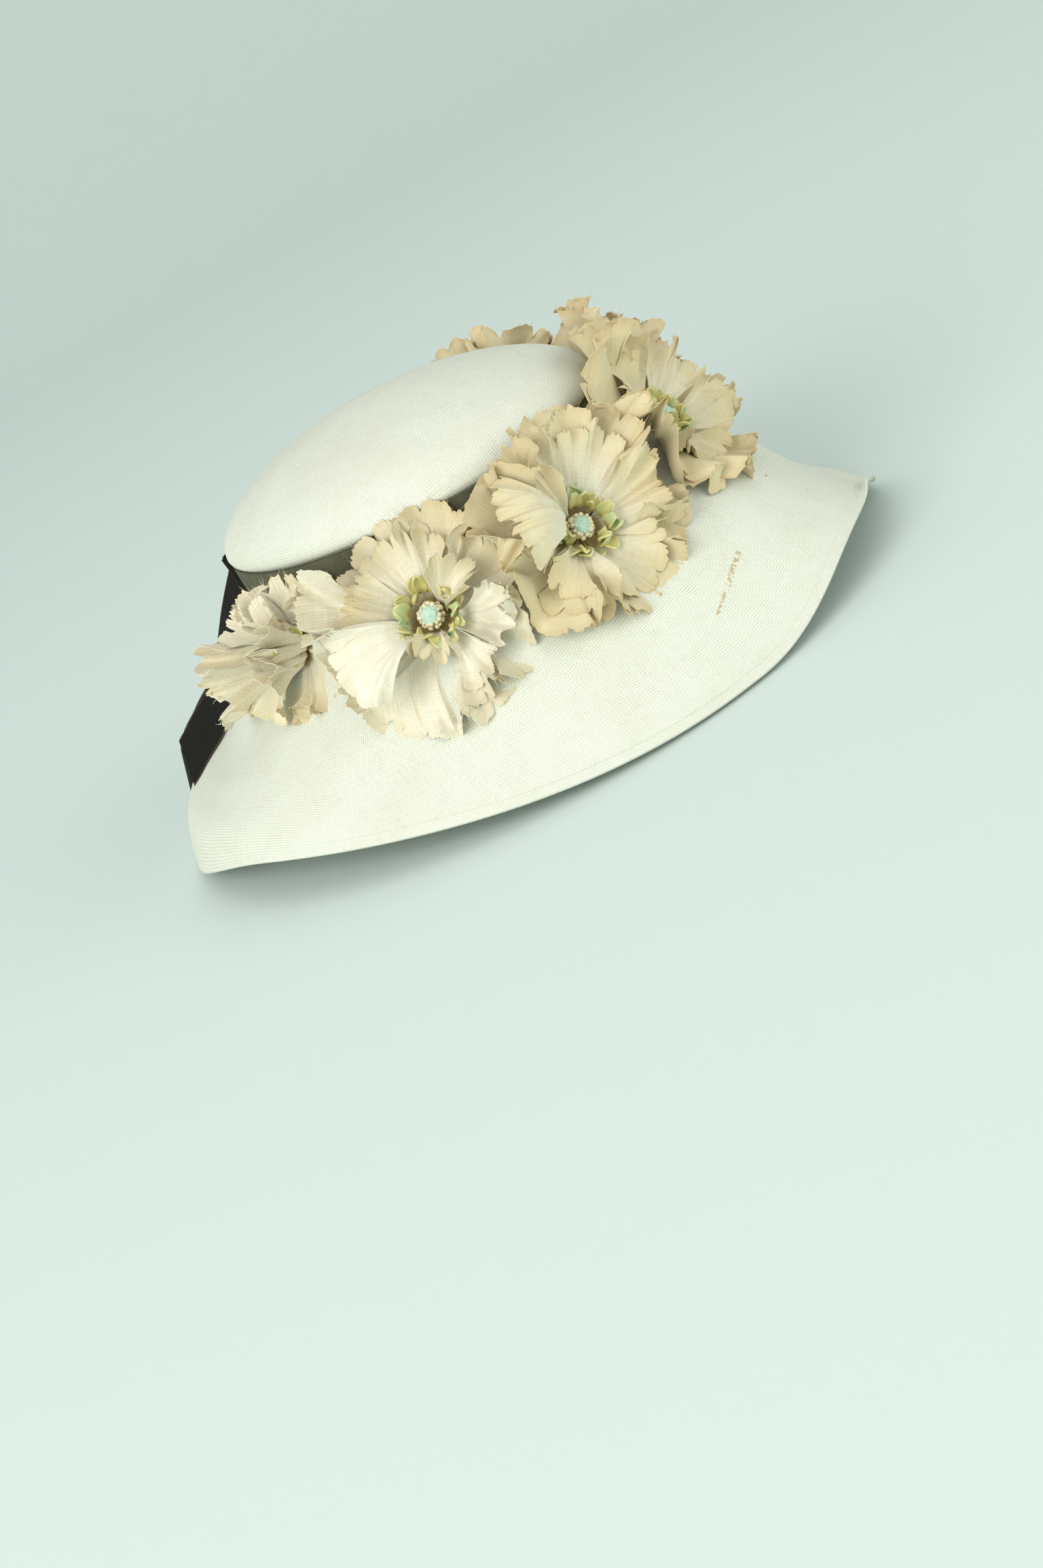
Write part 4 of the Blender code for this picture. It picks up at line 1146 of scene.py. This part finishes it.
def beadedDisc(name, frameMatrix, seat, rng):
    deselect()
    bpy.ops.mesh.primitive_uv_sphere_add(segments=44, ring_count=22, radius=discMake["radius"], location=(0, 0, 0))
    disc = bpy.context.object
    mesh = disc.data
    place = np.zeros(len(mesh.vertices) * 3)
    mesh.vertices.foreach_get("co", place)
    place = place.reshape(-1, 3)
    grain = wobble(place, 0.0010, rng.uniform(0, 9)) * discMake["grain"] + wobble(place, 0.003, 4.0) * 0.0005
    place *= (1 + grain / discMake["radius"])[:, None]
    place[:, 2] = place[:, 2] * discMake["height"] / discMake["radius"] + seat + 0.0036
    mesh.vertices.foreach_set("co", toWorld(frameMatrix, place).ravel())
    markShare(disc, 1.0)
    pieces = [disc]
    for k in range(discMake["beads"]):
        angle = k / discMake["beads"] * math.tau + rng.uniform(-0.12, 0.12)
        tier = k % 2
        reach = discMake["radius"] + (0.0011 if tier else 0.0002) + rng.uniform(-0.0003, 0.0005)
        rise = seat + (0.0012 if tier else 0.0034) + rng.uniform(-0.0006, 0.0009)
        deselect()
        bpy.ops.mesh.primitive_ico_sphere_add(subdivisions=2, radius=rng.uniform(*discMake["beadRadius"]))
        bead = bpy.context.object
        local = Vector((math.cos(angle) * reach, math.sin(angle) * reach, rise))
        stretch = Matrix.Diagonal((1, rng.uniform(0.8, 1.2), rng.uniform(0.9, 1.5), 1))
        bead.data.transform(frameMatrix @ Matrix.Translation(local) @ Matrix.Rotation(angle, 4, "Z") @ stretch)
        markShare(bead, 0.0)
        pieces.append(bead)
    return joined(pieces, name)


def buildFlower(name):
    heading, out, rise, face, size = flowerMake["flowers"][name]
    rng = np.random.default_rng(flowerMake["seed"] + heading % 97)
    frameMatrix = flowerFrame(heading, out, rise, face)
    centre = np.array(frameMatrix.translation)
    number = 0
    for layer in ("outer", "inner"):
        pieces, threads, area = [], [], 0.0
        for row in petalMake[name][layer]:
            petal, margin = petalShape(name, frameMatrix, number, row, rng)
            area += sheetArea(petal)
            pieces.append(petal)
            threads += looseThreads(margin, centre, number, row[6], rng)
            number += 1
        whole = joined(pieces + threads, name + layer.capitalize() + "Petals")
        finishPiece(whole, petalCloth, "petal_cloth", name + "_" + layer + "_petals", angle=60)
    low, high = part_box(name + "_button")
    seat = (frameMatrix.inverted() @ ((low + high) / 2)).z - 0.0025
    leaves, plump = [], leafMake["larger"].get(name, 1.0)
    for count, sway, reach, lift, lean, first in leafMake["rings"]:
        for k in range(count):
            angle = math.tau * k / count + rng.uniform(*sway)
            out = plump * rng.uniform(*reach)
            leaves.append(leafStamen(frameMatrix, first + k, angle, out, seat + lift, rng.uniform(*lean), plump, rng))
    stamens = joined(leaves, name + "LeafStamens")
    finishPiece(stamens, leafFinish, "stamens", name + "_stamens", angle=60)
    button = beadedDisc(name + "BeadedDisc", frameMatrix, seat, rng)
    finishPiece(button, beadFinish, "button", name + "_button", angle=60)


for name in ("flower_a", "flower_f", "flower_e", "flower_d", "flower_b", "flower_c"):
    buildFlower(name)
    print(name, "made")


stageMake = {"flat": 1.9, "rise": 2.6, "colour": (0.750, 0.840, 0.800, 1), "shade": (0.730, 0.820, 0.780, 1)}


def bowlStage():
    # a round floor whose far edge curves up, so that no horizon shows
    heading = np.linspace(0, 360, 97)
    rows = [(0.0, 0.0), (0.5, 0.0), (1.2, 0.0), (stageMake["flat"], 0.0)]
    for k in range(1, 19):
        angle = math.radians(5 * k)
        out, up = math.sin(angle), 1 - math.cos(angle)
        rows.append((stageMake["flat"] + stageMake["rise"] * out, stageMake["rise"] * up))
    points = np.array([outFrom(heading) * radius + np.array((0, 0, height)) for radius, height in rows])
    floor = sheetGrid("paleFloor", points, {"weave": points[..., :2]}, closed=True)
    only(floor)
    bpy.ops.object.shade_smooth()
    look, tree, shader = newMaterial("paleMint", 0.9, specular=0.1)
    tone = cloud(tree, objectPlace(tree), 0.8, 2.0)
    tree.links.new(mixColour(tree, tone, stageMake["colour"], stageMake["shade"]), shader.inputs["Base Color"])
    floor.data.materials.append(look)
    return floor


bowlStage()

lightMake = {
    # name, azimuth, elevation, distance, size, watts, colour
    "lamps": (("keySoftbox", -84, 24, 3.3, 2.6, 70.0, (1.0, 0.995, 0.97)),
              ("frontSoftbox", 4, 17, 3.4, 2.8, 40.0, (1.0, 1.0, 0.985)),
              ("topSoftbox", 120, 70, 2.2, 1.8, 2.0, (0.98, 1.0, 1.0))),
    "sky": (0.955, 1.0, 0.985, 1), "skyStrength": 0.60, "exposure": 0.0,
}


def towards(azimuth, elevation):
    return Vector((math.sin(azimuth) * math.cos(elevation), -math.cos(azimuth) * math.cos(elevation),
                   math.sin(elevation)))


def addLamp(name, azimuth, elevation, distance, size, power, colour):
    data = bpy.data.lights.new(name, "AREA")
    data.shape = "DISK"
    data.size = size
    data.energy = power
    data.color = colour
    lamp = bpy.data.objects.new(name, data)
    back = towards(math.radians(azimuth), math.radians(elevation))
    lamp.location = Vector((0, 0, 0.08)) + back * distance
    lamp.rotation_mode = "QUATERNION"
    lamp.rotation_quaternion = (-back).to_track_quat("-Z", "Y")
    bpy.context.scene.collection.objects.link(lamp)


for row in lightMake["lamps"]:
    addLamp(*row)
world = bpy.data.worlds.new("softRoom")
bpy.context.scene.world = world
world.use_nodes = True
world.node_tree.nodes["Background"].inputs["Color"].default_value = lightMake["sky"]
world.node_tree.nodes["Background"].inputs["Strength"].default_value = lightMake["skyStrength"]
bpy.context.scene.view_settings.view_transform = "Standard"
bpy.context.scene.view_settings.exposure = lightMake["exposure"]

cameraMake = {
    "azimuth": -48.0, "elevation": 12.5, "roll": -30.0, "distance": 1.150, "focal": 3715.0,
    "aim": (603, 690), "image": (1536, 2310),
}


def buildCamera():
    a, e, r = (math.radians(cameraMake[key]) for key in ("azimuth", "elevation", "roll"))
    back = towards(a, e)
    right = Vector((math.cos(a), math.sin(a), 0))
    up = back.cross(right)
    right, up = right * math.cos(r) + up * math.sin(r), up * math.cos(r) - right * math.sin(r)
    squarely = Matrix((right, up, back)).transposed()
    width, height = cameraMake["image"]
    aim = Vector((cameraMake["aim"][0] - width / 2, height / 2 - cameraMake["aim"][1], -cameraMake["focal"]))
    swing = Vector((0, 0, -1)).rotation_difference(aim.normalized())
    data = bpy.data.cameras.new("hatCamera")
    data.sensor_width = 36.0
    data.lens = cameraMake["focal"] / height * 36.0
    data.clip_start, data.clip_end = 0.05, 30.0
    camera = bpy.data.objects.new("hatCamera", data)
    camera.rotation_mode = "QUATERNION"
    camera.rotation_quaternion = squarely.to_quaternion() @ swing.inverted()
    camera.location = Vector((0, 0, bandTop)) + back * cameraMake["distance"]
    bpy.context.scene.collection.objects.link(camera)
    bpy.context.scene.camera = camera


buildCamera()
print("stage, light and camera set")
shown = [piece for piece in bpy.data.objects if piece.type == "MESH" and not piece.hide_render]
print("triangles:", sum(len(face.vertices) - 2 for piece in shown for face in piece.data.polygons))
